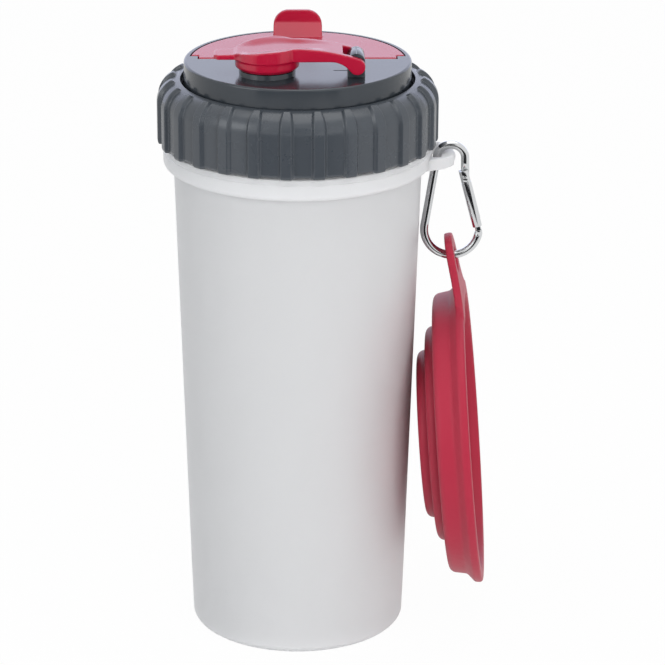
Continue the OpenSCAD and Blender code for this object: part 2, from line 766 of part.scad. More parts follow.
// Small bead that joins two lengths of wire
join_gap = 0.06;
join_turn = join_gap / hook_top_r * 180 / PI;

module join() {
    sphere(d = wire_d + 0.1, $fn = 24);
}

module at_rivet() {
    translate([rivet_x, 0, -rivet_drop]) rotate([0, -gate_lean, 0]) children();
}

module place_hook() {
    translate([hook_x, 0, hook_z]) rotate([0, -hook_lean, 0]) children();
}

module hook_body() {
    color([0.78, 0.79, 0.80])
    place_hook()
        difference() {
            union() {
                wire_arc(hook_top_r, join_turn, 180 - leg_turn - join_turn);
                translate([hook_top_r, 0, 0]) join();
                translate([hook_top_r, 0, -stub_l]) cylinder(d = wire_d, h = stub_l - join_gap, $fn = 24);
                rotate([0, leg_turn, 0]) translate([-hook_top_r, 0, 0]) {
                    join();
                    translate([0, 0, join_gap - leg_l])
                        cylinder(d = wire_d, h = leg_l - 2 * join_gap, $fn = 24);
                    translate([0, 0, -leg_l]) join();
                }
                translate([0, 0, -hook_span])
                    wire_arc(hook_low_r, 180 - leg_turn + join_turn / 2, 360 - low_end_turn);
                // Tongue that carries the rivet
                at_rivet() {
                    translate([-wire_d / 2, -tongue_t / 2, 0])
                        cube([wire_d, tongue_t, rivet_drop - stub_l + 1]);
                    rotate([90, 0, 0]) cylinder(d = wire_d, h = tongue_t, center = true);
                }
                // Nose that the gate closes over
                translate([hook_low_r - 1.9, -tongue_t / 2, -hook_span - 2.2])
                    cube([2.6, tongue_t, 3.6]);
            }
            at_rivet() rotate([90, 0, 0]) cylinder(r = rivet_r + press_play, h = 10, center = true);
        }
}

slot_t = tongue_t + 2 * tongue_play;
spring_bore_r = 1.3;
spring_top = -wire_d / 2 - 2.6;
spring_low = -gate_l + 6;
nose_slot = 3.2;

module hook_gate() {
    color([0.72, 0.73, 0.75])
    place_hook() at_rivet()
        difference() {
            translate([0, 0, -gate_l]) cylinder(r = gate_r, h = gate_l + gate_head, $fn = 32);
            translate([-5, -slot_t / 2, -wire_d / 2 - gate_clear])
                cube([10, slot_t, gate_head + wire_d + 2]);
            translate([-5, -slot_t / 2, -gate_l - 1]) cube([10, slot_t, nose_slot + 1]);
            translate([0, 0, spring_low]) cylinder(r = spring_bore_r, h = -spring_low);
            rotate([90, 0, 0]) cylinder(r = rivet_r + pin_play, h = 10, center = true);
        }
}

module gate_rivet() {
    color([0.78, 0.79, 0.80])
    place_hook() at_rivet() rotate([90, 0, 0]) {
        cylinder(r = rivet_r, h = 2 * gate_r + 0.4, center = true);
    }
}

plunger_r = spring_bore_r - 0.1;

module gate_plunger() {
    color([0.72, 0.73, 0.75])
    place_hook() at_rivet()
        translate([0, 0, spring_top]) cylinder(r = plunger_r, h = 2.6 - gate_clear);
}

// Coil spring: an unbroken tube along a helix
coil_turns = 9;
coil_steps = 8;
coil_sides = 6;
coil_wire_r = 0.2;
coil_r = spring_bore_r - coil_wire_r - 0.08;
coil_z0 = spring_low + coil_wire_r + 0.05;
coil_z1 = spring_top - coil_wire_r - 0.05;
coil_n = coil_turns * coil_steps;
coil_points = [for (i = [0:coil_n], k = [0:coil_sides - 1])
    let (a = 360 * i / coil_steps, b = 360 * k / coil_sides, r = coil_r + coil_wire_r * cos(b))
    [r * cos(a), r * sin(a), coil_z0 + (coil_z1 - coil_z0) * i / coil_n + coil_wire_r * sin(b)]];
coil_faces = concat(
    [[for (k = [0:coil_sides - 1]) k]],
    [for (i = [0:coil_n - 1], k = [0:coil_sides - 1], half = [0:1])
        let (a = i * coil_sides + k, b = i * coil_sides + (k + 1) % coil_sides)
        half == 0 ? [a, a + coil_sides, b + coil_sides] : [a, b + coil_sides, b]],
    [[for (k = [coil_sides - 1:-1:0]) coil_n * coil_sides + k]]);

module gate_spring() {
    color("silver")
    place_hook() at_rivet() polyhedron(coil_points, coil_faces);
}

// Bowl, drawn with its mouth upwards about the middle of the mouth

hole_at = loop_reach - loop_end_w - loop_hole_r;
wire_at = loop_reach - loop_end_w - loop_play - wire_d / 2;
loop_foot = bowl_r - 3.5;
loop_mid = rim_t / 2;
wire_down = loop_mid + (wire_at - loop_foot) * tan(loop_bend);
bowl_hang_x = hook_x + (hook_span + hook_low_r) * sin(hook_lean);
bowl_hang_z = hook_z - (hook_span + hook_low_r) * cos(hook_lean);
shelf_t = bowl_wall;

module place_bowl() {
    translate([bowl_hang_x, 0, bowl_hang_z])
        rotate([0, 90 - bowl_lean, -bowl_yaw])
            translate([wire_at, 0, wire_down])
                children();
}

rim_outline = concat(
    arc(bowl_r - 1, -1, 1, 90, 0, 3),
    [[bowl_r - 0.2, -rim_t], [wall_r + 0.7, -rim_depth]],
    arc(wall_r - stage_edge_r, -wall_depth + stage_edge_r, stage_edge_r, 0, -90),
    [[wall_r - shelf_w, -wall_depth], [wall_r - shelf_w, -wall_depth + shelf_t],
     [wall_r - bowl_wall, -wall_depth + shelf_t], [wall_r - bowl_wall, -rim_t],
     [wall_r - bowl_wall + 1, 0]]);

// Plan of the loop: a round end that widens into the rim
loop_mid_r = loop_reach - loop_r;
flare_r = 18;
flare_far = bowl_r + flare_r;
flare_near = loop_r + flare_r;
flare_x = (flare_far * flare_far - flare_near * flare_near + loop_mid_r * loop_mid_r) / (2 * loop_mid_r);
flare_y = sqrt(flare_far * flare_far - flare_x * flare_x);
flare_turn = atan2(flare_y, flare_x - loop_mid_r);
flare_side = atan2(flare_y, flare_x);
loop_half = concat(
    arc(loop_mid_r, 0, loop_r, 0, flare_turn, 10),
    arc(flare_x, flare_y, flare_r, 180 + flare_turn, 180 + flare_side, 8),
    [[loop_foot * cos(flare_side), loop_foot * sin(flare_side)], [loop_foot - 1.5, 0]]);
loop_plan = concat(mirrored(loop_half), loop_half);

module bowl_loop() {
    rotate([0, 0, 180])
        translate([loop_foot, 0, -loop_mid]) rotate([0, loop_bend, 0])
            translate([-loop_foot, 0, -loop_t / 2])
                linear_extrude(loop_t)
                    difference() {
                        polygon(loop_plan);
                        translate([hole_at, 0]) circle(r = loop_hole_r);
                    }
}

bowl_red = [0.67, 0.20, 0.29];

module bowl_rim() {
    color(bowl_red)
    place_bowl()
        union() {
            rotate_extrude($fn = 96) polygon(rim_outline);
            bowl_loop();
        }
}

// Outline of a stage of outer radius r that ends at depth, with a shelf of width w
function stage_outline(r, depth, w) = concat(
    [[r - bowl_wall, -depth + stage_h], [r, -depth + stage_h]],
    arc(r - stage_edge_r, -depth + stage_edge_r, stage_edge_r, 0, -90),
    [[r - w, -depth], [r - w, -depth + shelf_t], [r - bowl_wall, -depth + shelf_t]]);

module bowl_middle_ring() {
    color(bowl_red)
    place_bowl()
        rotate_extrude($fn = 96) polygon(stage_outline(middle_r, middle_depth, middle_shelf_w));
}

module bowl_base() {
    color(bowl_red)
    place_bowl()
        rotate_extrude($fn = 96) polygon(stage_outline(base_r, bowl_depth, base_r));
}

// Thin web from the shelf edge at r0, depth d0 to the upper edge of a stage at r1, depth d1
module fold(r0, d0, r1, d1) {
    place_bowl()
        rotate_extrude($fn = 96)
            polygon([[r0 - fold_t, -d0], [r0, -d0], [r0, -d0 + 1], [r1 + fold_t, -d1], [r1, -d1],
                [r1, -d1 - 1]]);
}

module bowl_outer_fold() {
    color(bowl_red)
    fold(wall_r - shelf_w - 0.1, wall_depth - 0.4, middle_r + rest_gap, middle_depth - stage_h + 0.6);
}

module bowl_inner_fold() {
    color(bowl_red)
    fold(middle_r - middle_shelf_w - 0.1, middle_depth - 0.4, base_r + rest_gap,
        bowl_depth - stage_h + 0.6);
}

cup();
cup_divider();
cup_lug();
lid_disc();
lid_gasket();
divider_seal();
screw_ring();
food_flap();
flap_seal();
flap_hinge_pins();
spout_lever();
spout_stopper();
lever_pin();
hook_body();
hook_gate();
gate_rivet();
gate_plunger();
gate_spring();
bowl_rim();
bowl_outer_fold();
bowl_middle_ring();
bowl_inner_fold();
bowl_base();
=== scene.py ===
# %% [markdown]
# # A travel bottle for a dog
# A milky cup with two chambers, a dark screw ring round a dark lid, a red lever over the
# spout, a red flap over the food side, a steel snap hook and a folded red silicone bowl.
# The measured solids come first, as a fixed frame. Everything made here sits on them.

# %% Load the measured frame
import math

import bmesh
import bpy
import numpy as np
from mathutils import Matrix, Vector


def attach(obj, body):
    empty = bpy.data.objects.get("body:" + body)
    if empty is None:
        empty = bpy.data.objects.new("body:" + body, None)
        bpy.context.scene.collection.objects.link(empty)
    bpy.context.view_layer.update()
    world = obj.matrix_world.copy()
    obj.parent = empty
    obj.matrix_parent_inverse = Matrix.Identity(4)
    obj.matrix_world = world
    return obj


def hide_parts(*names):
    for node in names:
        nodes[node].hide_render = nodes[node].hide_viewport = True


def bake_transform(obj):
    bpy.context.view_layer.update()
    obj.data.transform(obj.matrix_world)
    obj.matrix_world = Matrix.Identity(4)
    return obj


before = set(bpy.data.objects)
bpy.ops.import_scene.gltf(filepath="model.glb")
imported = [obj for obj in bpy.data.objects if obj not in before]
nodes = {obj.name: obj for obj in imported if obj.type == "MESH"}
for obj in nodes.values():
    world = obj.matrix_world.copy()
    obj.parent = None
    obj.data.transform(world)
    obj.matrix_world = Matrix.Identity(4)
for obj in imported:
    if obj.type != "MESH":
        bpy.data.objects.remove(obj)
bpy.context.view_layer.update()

# %% [markdown]
# ## The camera
# The photograph was taken from a little above, with a long lens, so that the ellipses of
# the base, the flange and the ring are all slim. The numbers were solved from those
# ellipses. The shift puts the bottle left of the middle of the picture, as it is there.

# %% Camera at the photograph's place
scene = bpy.context.scene


def in_scene(name, data):
    """A named object of the scene, made from its mesh, camera or lamp data."""
    made = bpy.data.objects.new(name, data)
    scene.collection.objects.link(made)
    return made


lens = bpy.data.cameras.new("photo_camera")
lens.sensor_width = 36.0
lens.lens = 171.5
lens.shift_x = 0.0523
camera = in_scene("photo_camera", lens)
camera.location = (0.0, -1.2175, 0.5734)
camera.rotation_euler = (math.radians(69.75), 0.0, 0.0)
scene.camera = camera
scene.view_settings.view_transform = "Standard"
print("camera", tuple(round(c, 4) for c in camera.location), "lens", lens.lens)

# %% [markdown]
# ## Small helpers for meshes
# Most pieces of a bottle are turned forms: one outline swept round an axis. Blender's Screw
# modifier or its Spin tool could do that. A small lathe of our own also lets the steps round
# the axis lie unevenly, which the ring needs for its ribs. Sizes are written in millimetres,
# as on a drawing, and turned to metres in one place.

# %% Arcs and eased steps
MM = 0.001


def arc(cx, cy, r, start, end, steps=8):
    """Points of an arc in a drawing plane, in millimetres and degrees."""
    turns = np.radians(np.linspace(start, end, steps + 1))
    return [(cx + r * math.cos(a), cy + r * math.sin(a)) for a in turns]


def ease(a, b, x):
    """A smooth step from 0 at a to 1 at b."""
    t = min(1.0, max(0.0, (x - a) / (b - a)))
    return t * t * (3 - 2 * t)


print("a quarter arc of radius 1:", [tuple(round(c, 2) for c in p) for p in arc(0, 0, 1, 0, 90, 2)])


# %% Mesh, lathe and tube
def shade(mesh, crease_angle):
    """Smooth shading, with a crease where two faces meet at more than the angle."""
    mesh.shade_smooth()
    mesh.set_sharp_from_angle(angle=math.radians(crease_angle))


def piece(name, verts, faces, crease_angle=35.0, place=None):
    """A named mesh object at the origin, with its place in its mesh and outward faces."""
    mesh = bpy.data.meshes.new(name)
    mesh.from_pydata([tuple(v) for v in verts], [], faces)
    work = bmesh.new()
    work.from_mesh(mesh)
    bmesh.ops.remove_doubles(work, verts=work.verts, dist=1e-6)
    bmesh.ops.dissolve_degenerate(work, dist=1e-7, edges=work.edges)
    bmesh.ops.recalc_face_normals(work, faces=work.faces)
    work.to_mesh(mesh)
    work.free()
    mesh.transform((place or Matrix.Identity(4)) @ Matrix.Scale(MM, 4))
    shade(mesh, crease_angle)
    return in_scene(name, mesh)


def lathe(name, outline, steps=192, crease_angle=35.0, place=None, turns=None):
    """Turns a closed (radius, height) outline round Z, evenly or at given shares of a turn."""
    turns = turns or [s / steps for s in range(steps)]
    verts, faces = [], []
    for turn in turns:
        c, d = math.cos(2 * math.pi * turn), math.sin(2 * math.pi * turn)
        verts += [(r * c, r * d, z) for r, z in outline]
    n = len(outline)
    for s in range(len(turns)):
        a, b = s * n, (s + 1) % len(turns) * n
        faces += [(a + i, b + i, b + (i + 1) % n, a + (i + 1) % n) for i in range(n)]
    return piece(name, verts, faces, crease_angle, place)


def tube_faces(count, n):
    """Faces of a tube of so many sections of n points each, closed at both ends."""
    faces = []
    for a in range(0, (count - 1) * n, n):
        faces += [(a + k, a + (k + 1) % n, a + n + (k + 1) % n, a + n + k) for k in range(n)]
    return faces + [tuple(range(n)), tuple(range(count * n - 1, (count - 1) * n - 1, -1))]


print("a tube of 3 sections of 6 points has", len(tube_faces(3, 6)), "faces")


# %% Finer copies of a solid
def plain(made):
    """Turns the result of the modifiers into a plain mesh and drops the modifiers."""
    bpy.context.view_layer.update()
    done = bpy.data.meshes.new_from_object(made.evaluated_get(bpy.context.evaluated_depsgraph_get()))
    made.modifiers.clear()
    made.data = done
    return made


def joined_copy(name, node, flat_angle=None):
    """A copy of a solid with its loose triangles joined, and those of one plane merged."""
    made = in_scene(name, nodes[node].data.copy())
    work = bmesh.new()
    work.from_mesh(made.data)
    bmesh.ops.remove_doubles(work, verts=work.verts, dist=2e-6)
    if flat_angle:
        bmesh.ops.dissolve_limit(work, angle_limit=math.radians(flat_angle), verts=work.verts,
                                 edges=work.edges)
    work.to_mesh(made.data)
    work.free()
    made.data.materials.clear()
    return made


def moulded(name, node, voxel, rounds, crease_angle=60.0):
    """A copy of a solid with the soft edges of a moulding: remeshed finely, then relaxed."""
    made = joined_copy(name, node)
    net = made.modifiers.new("net", "REMESH")
    net.mode = "VOXEL"
    net.voxel_size = voxel * MM
    relax = made.modifiers.new("relax", "SMOOTH")
    relax.factor = 0.5
    relax.iterations = rounds
    plain(made)
    shade(made.data, crease_angle)
    print(name, len(made.data.polygons), "faces")
    return made


def bevelled(name, node, width, segments=2, edge_angle=40.0):
    """A copy of a solid with every sharp edge rounded a little, as any moulding has."""
    made = joined_copy(name, node, flat_angle=0.5)
    edge = made.modifiers.new("edge", "BEVEL")
    edge.width = width * MM
    edge.segments = segments
    edge.limit_method = "ANGLE"
    edge.angle_limit = math.radians(edge_angle)
    plain(made)
    shade(made.data, edge_angle)
    for face in made.data.polygons:
        if abs(face.normal.z) > 0.9995:
            face.use_smooth = False  # a level face stays level, with no bend in its shading
    print(name, len(made.data.polygons), "faces")
    return made


def wear(made, look, body, slot, *replaced):
    """Gives a piece its finish and its body, and hides the solids it stands for; the slot is not used."""
    made.data.materials.clear()
    made.data.materials.append(look)
    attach(made, body)
    if replaced:
        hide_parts(*replaced)


print("helpers ready")

# %% [markdown]
# ## Shader groups that several finishes share
# Moulded plastic and silicone are never quite even. Three effects give that: a very fine
# relief from the mould, a slow drift of the colour, and a gloss that fingers have dulled
# here and there. Painted pictures could give the same, but they would need an unwrapped
# surface. Noise in space needs none. Each effect is built once as a group and used in every
# finish with its own values.


# %% Helpers for shader groups
def new_group(name, inputs, outputs):
    """A shader group with named inputs (kind, name, default) and outputs (kind, name)."""
    group = bpy.data.node_groups.new(name, "ShaderNodeTree")
    for kind, label, value in inputs:
        made = group.interface.new_socket(label, in_out="INPUT", socket_type=kind)
        made.default_value = value
    for kind, label in outputs:
        group.interface.new_socket(label, in_out="OUTPUT", socket_type=kind)
    return group, group.nodes.new("NodeGroupInput"), group.nodes.new("NodeGroupOutput")


def noise(tree, vector, scale, detail):
    """Soft noise from 0 to 1, with its scale taken from a socket."""
    made = tree.nodes.new("ShaderNodeTexNoise")
    made.inputs["Detail"].default_value = detail
    tree.links.new(vector, made.inputs["Vector"])
    tree.links.new(scale, made.inputs["Scale"])
    return made.outputs["Fac"]


def calc(tree, operation, *values):
    """One step of arithmetic on sockets and plain numbers."""
    made = tree.nodes.new("ShaderNodeMath")
    made.operation = operation
    for socket, value in zip(made.inputs, values):
        if isinstance(value, (int, float)):
            socket.default_value = value
        else:
            tree.links.new(value, socket)
    return made.outputs[0]


print("shader helpers ready")

# %% Group: fine relief of a mould
relief, relief_in, relief_out = new_group(
    "mould_relief",
    [("NodeSocketVector", "Vector", (0, 0, 0)), ("NodeSocketFloat", "Grain", 900.0),
     ("NodeSocketFloat", "Waves", 40.0), ("NodeSocketFloat", "Wave Share", 0.5)],
    [("NodeSocketFloat", "Height")])
grain = noise(relief, relief_in.outputs["Vector"], relief_in.outputs["Grain"], 2.0)
waves = noise(relief, relief_in.outputs["Vector"], relief_in.outputs["Waves"], 1.0)
waves = calc(relief, "MULTIPLY", waves, relief_in.outputs["Wave Share"])
relief.links.new(calc(relief, "ADD", grain, waves), relief_out.inputs["Height"])
print("group", relief.name)

# %% Group: slow drift of the colour
drift, drift_in, drift_out = new_group(
    "colour_drift",
    [("NodeSocketVector", "Vector", (0, 0, 0)), ("NodeSocketColor", "Colour", (0.5, 0.5, 0.5, 1)),
     ("NodeSocketColor", "Second Colour", (0.5, 0.5, 0.5, 1)), ("NodeSocketFloat", "Scale", 20.0),
     ("NodeSocketFloat", "Amount", 0.3)],
    [("NodeSocketColor", "Colour")])
clouds = noise(drift, drift_in.outputs["Vector"], drift_in.outputs["Scale"], 4.0)
share = calc(drift, "MULTIPLY", clouds, drift_in.outputs["Amount"])
blend_colours = drift.nodes.new("ShaderNodeMix")
blend_colours.data_type = "RGBA"
drift.links.new(share, blend_colours.inputs["Factor"])
drift.links.new(drift_in.outputs["Colour"], blend_colours.inputs["A"])
drift.links.new(drift_in.outputs["Second Colour"], blend_colours.inputs["B"])
drift.links.new(blend_colours.outputs["Result"], drift_out.inputs["Colour"])
print("group", drift.name)

# %% Group: gloss dulled by handling
handled, handled_in, handled_out = new_group(
    "handled_gloss",
    [("NodeSocketVector", "Vector", (0, 0, 0)), ("NodeSocketFloat", "Roughness", 0.3),
     ("NodeSocketFloat", "Spread", 0.1), ("NodeSocketFloat", "Scale", 60.0)],
    [("NodeSocketFloat", "Roughness")])
smears = noise(handled, handled_in.outputs["Vector"], handled_in.outputs["Scale"], 5.0)
smears = calc(handled, "SUBTRACT", smears, 0.5)
smears = calc(handled, "MULTIPLY_ADD", smears, handled_in.outputs["Spread"], handled_in.outputs["Roughness"])
handled.links.new(smears, handled_out.inputs["Roughness"])
print("group", handled.name)

# %% [markdown]
# ## The finishes
# One helper lays out a finish: the Principled shader with its fixed numbers on its own
# sockets, and the three groups on colour, roughness and bump. Object coordinates are in
# metres, so a noise scale of 1000 is a pattern about a millimetre wide.

# %% Helper for one finish
SMEAR_SCALE, WAVE_SHARE = 70.0, 0.6


def finish(name, colour, second, roughness, spread=0.08, drift_scale=18.0, amount=0.5,
           grain_size=1400.0, wave_size=60.0, bump=0.05, bump_mm=0.05, **fixed):
    """A material whose colour drifts, whose gloss varies and whose surface has fine relief."""
    made = bpy.data.materials.new(name)
    made.use_nodes = True
    tree = made.node_tree
    shader = tree.nodes["Principled BSDF"]
    for label, value in fixed.items():
        shader.inputs[label.replace("_", " ")].default_value = value
    place = tree.nodes.new("ShaderNodeTexCoord").outputs["Object"]

    def use(group, **values):
        node = tree.nodes.new("ShaderNodeGroup")
        node.node_tree = group
        tree.links.new(place, node.inputs["Vector"])
        for label, value in values.items():
            node.inputs[label.replace("_", " ")].default_value = value
        return node

    tint = use(drift, Colour=(*colour, 1), Second_Colour=(*second, 1), Scale=drift_scale, Amount=amount)
    tree.links.new(tint.outputs["Colour"], shader.inputs["Base Color"])
    gloss = use(handled, Roughness=roughness, Spread=spread, Scale=SMEAR_SCALE)
    tree.links.new(gloss.outputs["Roughness"], shader.inputs["Roughness"])
    surface = use(relief, Grain=grain_size, Waves=wave_size, Wave_Share=WAVE_SHARE)
    raised = tree.nodes.new("ShaderNodeBump")
    raised.inputs["Strength"].default_value = bump
    raised.inputs["Distance"].default_value = bump_mm * MM
    tree.links.new(surface.outputs["Height"], raised.inputs["Height"])
    tree.links.new(raised.outputs["Normal"], shader.inputs["Normal"])
    print("finish", name)
    return made


# %% [markdown]
# The cup is natural polypropylene: milky, a little see-through, slightly waxy. Light goes
# in and comes out a few millimetres away. Real transmission through the wall would be slow
# and noisy to render, and subsurface scattering gives the same glow on an opaque piece.
# The ring and the lid are one dark slate plastic. The lid is the glossier of the two, and its colour is set
# darker than the ring's as painted shade for its upright side.

# %% Cup, ring and lid finishes
milky = finish("milky_polypropylene", (0.70, 0.70, 0.71), (0.64, 0.65, 0.66), 0.42, spread=0.10,
               drift_scale=9.0, amount=0.6, wave_size=25.0, bump=0.08, bump_mm=0.06,
               Subsurface_Weight=0.6, Subsurface_Radius=(1.0, 1.0, 1.0), Subsurface_Scale=0.012, IOR=1.49)
slate_ring = finish("slate_ring_plastic", (0.047, 0.055, 0.066), (0.060, 0.069, 0.080), 0.28,
                    spread=0.10, bump=0.10, bump_mm=0.05, IOR=1.5)
# Painted shade: the lid's slate is darker than the ring's, for the shade that its upright side shows.
slate_lid_painted_shade = finish("slate_lid_plastic", (0.029, 0.035, 0.043), (0.038, 0.045, 0.053), 0.18,
                   spread=0.06, bump=0.05, bump_mm=0.03, IOR=1.46)

# %% [markdown]
# The lever and the flap are one glossy crimson plastic. The bowl is silicone in nearly the
# same red, but matte, with a soft bloom of dust that silicone always gathers. A thin sheen
# layer gives that bloom, because a rougher gloss alone would only make the red greyer.

# %% Red plastic, silicone and steel finishes
crimson = finish("crimson_plastic", (0.44, 0.004, 0.034), (0.38, 0.003, 0.027), 0.22,
                 spread=0.10, bump=0.06, bump_mm=0.04, IOR=1.5)
red_silicone = finish("red_silicone", (0.42, 0.018, 0.048), (0.34, 0.012, 0.036), 0.50,
                      spread=0.12, drift_scale=30.0, amount=0.8, grain_size=2200.0, bump=0.18,
                      bump_mm=0.05, IOR=1.40, Sheen_Weight=0.04, Sheen_Roughness=0.5)
white_silicone = finish("white_silicone", (0.80, 0.80, 0.77), (0.72, 0.72, 0.69), 0.5,
                        spread=0.1, bump=0.1, IOR=1.42)
steel = finish("polished_steel", (0.66, 0.67, 0.68), (0.58, 0.59, 0.60), 0.14, spread=0.10,
               grain_size=3000.0, wave_size=200.0, bump=0.05, bump_mm=0.03, Metallic=1.0)

# %% [markdown]
# ## A finish for every solid
# The divider, the seals, the pins, the spring and its plunger keep the meshes of the solids.
# They are exact already, and they are hidden or too small for softer edges to show. Finer
# pieces further down stand in for the other solids, which get their finish here all the
# same. It is set on the object and not in the mesh, so that the solids stay as measured.

# %% Finishes on the solids
SOLIDS_IN = [
    (milky, ("cup", "cup_divider", "cup_lug")),
    (slate_lid_painted_shade, ("lid_disc",)),
    (slate_ring, ("screw_ring",)),
    (crimson, ("food_flap", "spout_lever")),
    (white_silicone, ("lid_gasket", "divider_seal", "flap_seal", "spout_stopper")),
    (steel, ("flap_hinge_pins", "lever_pin", "hook_body", "hook_gate", "gate_rivet", "gate_plunger",
             "gate_spring")),
    (red_silicone, ("bowl_rim", "bowl_outer_fold", "bowl_middle_ring", "bowl_inner_fold", "bowl_base")),
]
for look, names in SOLIDS_IN:
    for name in names:
        for first_slot in nodes[name].material_slots[:1]:
            first_slot.link = "OBJECT"
            first_slot.material = look
    print(look.name, "on", ", ".join(names))

# %% [markdown]
# ## The cup
# The cup is a turned form: a tapered wall, a foot ring, a flange and a neck. The solid
# could be used as it is, but its round edges have few steps. It is drawn again here with
# more, so that its edge and its rounded base stay smooth up close.

# %% Outline of the cup
BASE_R, TOP_R, WALL, FLOOR_TOP, FOOT_ROUND, RECESS_R, RECESS_TOP = 43.8, 49.8, 2.2, 4.0, 2.6, 38.8, 1.2
FLANGE_Z, FLANGE_R, FLANGE_ROUND, LIP_R, LIP_TOP = 197.4, 53.9, 2.2, 53.55, 206.2
NECK_R, BORE_R, NECK_TOP, MOUTH_ROUND = 49.0, 46.8, 221.0, 0.6


def wall_at(z):
    """Outer radius of the tapered wall at a height."""
    return BASE_R + (TOP_R - BASE_R) * z / FLANGE_Z


foot = ([(0, RECESS_TOP), (RECESS_R - 0.3, RECESS_TOP)]
        + arc(RECESS_R - 0.3, RECESS_TOP - 0.3, 0.3, 90, 0, 3)[1:]
        + arc(RECESS_R + 0.4, 0.4, 0.4, 180, 270, 4)
        + arc(BASE_R - FOOT_ROUND, FOOT_ROUND, FOOT_ROUND, -88, 0, 12))
outside = [(wall_at(z), z) for z in range(20, 190, 20)]
flange = (arc(TOP_R + 1.0, FLANGE_Z - 1.0, 1.0, 180, 90, 5)
          + arc(FLANGE_R - FLANGE_ROUND, FLANGE_Z + FLANGE_ROUND, FLANGE_ROUND, -90, 0, 8)
          + arc(FLANGE_R - 0.3, LIP_TOP - 2.6, 0.3, 0, 50, 3) + [(LIP_R, LIP_TOP - 2.1)]
          + arc(LIP_R - 0.5, LIP_TOP - 0.5, 0.5, 0, 90, 5))
neck = ([(NECK_R + 1.0, LIP_TOP), (NECK_R + 0.3, LIP_TOP + 0.05), (NECK_R, LIP_TOP + 0.4),
         (NECK_R, NECK_TOP - MOUTH_ROUND)]
        + arc(NECK_R - MOUTH_ROUND, NECK_TOP - MOUTH_ROUND, MOUTH_ROUND, 10, 80, 4)
        + arc(BORE_R + MOUTH_ROUND, NECK_TOP - MOUTH_ROUND, MOUTH_ROUND, 100, 180, 4)
        + [(BORE_R, LIP_TOP), (TOP_R - WALL, FLANGE_Z - WALL)])
inside = ([(wall_at(z) - WALL, z) for z in range(180, 10, -20)]
          + arc(wall_at(FLOOR_TOP) - WALL - FOOT_ROUND, FLOOR_TOP + FOOT_ROUND, FOOT_ROUND, 0, -90, 8)
          + [(0, FLOOR_TOP)])
cup = lathe("cup_turned", foot + outside + flange + neck + inside, steps=256)
wear(cup, milky, "cup", "cup_plastic", "cup")
print("cup:", len(cup.data.polygons), "faces")

# %% [markdown]
# The lug beside the flange carries the hook. On the real bottle the two are one moulding.
# A Boolean could join them, but its seam would stay sharp. So the lug is softened by a fine
# voxel net, and the points at its root move into the flange.

# %% Lug with soft edges, reaching into the flange
ROOT_R, ROOT_DEEP, REACH_IN = 54.9, 0.9, 1.3
lug = moulded("lug_moulding", "cup_lug", voxel=0.28, rounds=5, crease_angle=70)
for vertex in lug.data.vertices:
    out = math.hypot(vertex.co.x, vertex.co.y) / MM
    inward = min(1.0, max(0.0, (ROOT_R - out) / ROOT_DEEP)) * REACH_IN
    vertex.co.x -= inward * vertex.co.x / out
    vertex.co.y -= inward * vertex.co.y / out
wear(lug, milky, "cup", "cup_plastic", "cup_lug")

# %% [markdown]
# ## The lid
# The lid disc is a moulding with many crossing edges: the recess, the hinge post, the seat
# ring. A narrow bevel on every sharp edge catches the light as the real edges do, and it
# leaves the large flat faces truly flat, which a voxel net wouldn't.

# %% Lid with rounded edges
lid = bevelled("lid_moulding", "lid_disc", width=0.22)
wear(lid, slate_lid_painted_shade, "lid", "lid_plastic", "lid_disc")

# %% [markdown]
# ## The lever and the flap
# Both are injection mouldings with soft edges. A fine voxel net over the exact solid,
# relaxed a few rounds, rounds every edge by about half a millimetre without moving the
# faces, which a bevel can't do on so many crossing curves. The arched top of the lever has
# a shallow hollow for the thumb, which is pressed into the net point by point.

# %% Lever over the spout, with its hollow
ARCH_TOP, ARCH_R, ARCH_X, TOP_BAND = 252.0, 90.0, -2.7, 1.75
ARM_HALF, BULGE_HALF, BULGE_REACH, SPOUT_X, SPOUT_Y = 8.7, 13.4, 9.5, -11.9, -21.2
HOLLOW_FROM, HOLLOW_TO, HOLLOW_DEEP, LEVER_EDGE = -24.0, 15.0, 1.2, 1.2
lever = moulded("lever_moulding", "spout_lever", voxel=0.30, rounds=5)
for vertex in lever.data.vertices:
    x, y, z = (c / MM for c in vertex.co)
    arch = ARCH_TOP - ARCH_R + math.sqrt(ARCH_R ** 2 - (x - ARCH_X) ** 2)
    half = ARM_HALF + (BULGE_HALF - ARM_HALF) * math.exp(-((x - SPOUT_X) / BULGE_REACH) ** 4)
    share = abs(y - SPOUT_Y) / (half - LEVER_EDGE)
    if z > arch - TOP_BAND and HOLLOW_FROM < x < HOLLOW_TO and share < 1:
        deep = HOLLOW_DEEP * (1 - ease(0.35, 1, share))
        deep *= ease(HOLLOW_FROM, HOLLOW_FROM + 8, x) * (1 - ease(HOLLOW_TO - 21, HOLLOW_TO, x))
        hold = 1 - ease(0.8, 1, share)
        hold *= ease(HOLLOW_FROM, HOLLOW_FROM + 3, x) * (1 - ease(HOLLOW_TO - 4, HOLLOW_TO, x))
        vertex.co.z = (z + (arch - deep - z) * hold) * MM
lever.data.update()
wear(lever, crimson, "lever", "red_plastic", "spout_lever")

# %% Flap over the food
flap = moulded("flap_moulding", "food_flap", voxel=0.38, rounds=2)
wear(flap, crimson, "flap", "red_plastic", "food_flap")

# %% [markdown]
# ## The screw ring
# The ring is one turned body. Its grip ribs follow a rule: the same rounded rib, 27 times
# round, narrower and then gone over the shoulder, like the nose of a bullet. An Array of one
# modelled rib would need a join at every rib. Here each point of the body carries two
# values instead: the way a rib would push it, and how wide a rib is there. Geometry Nodes
# push it by how near it is to the middle of a rib. A number of ribs, a width or a height
# can then be tried in a second.

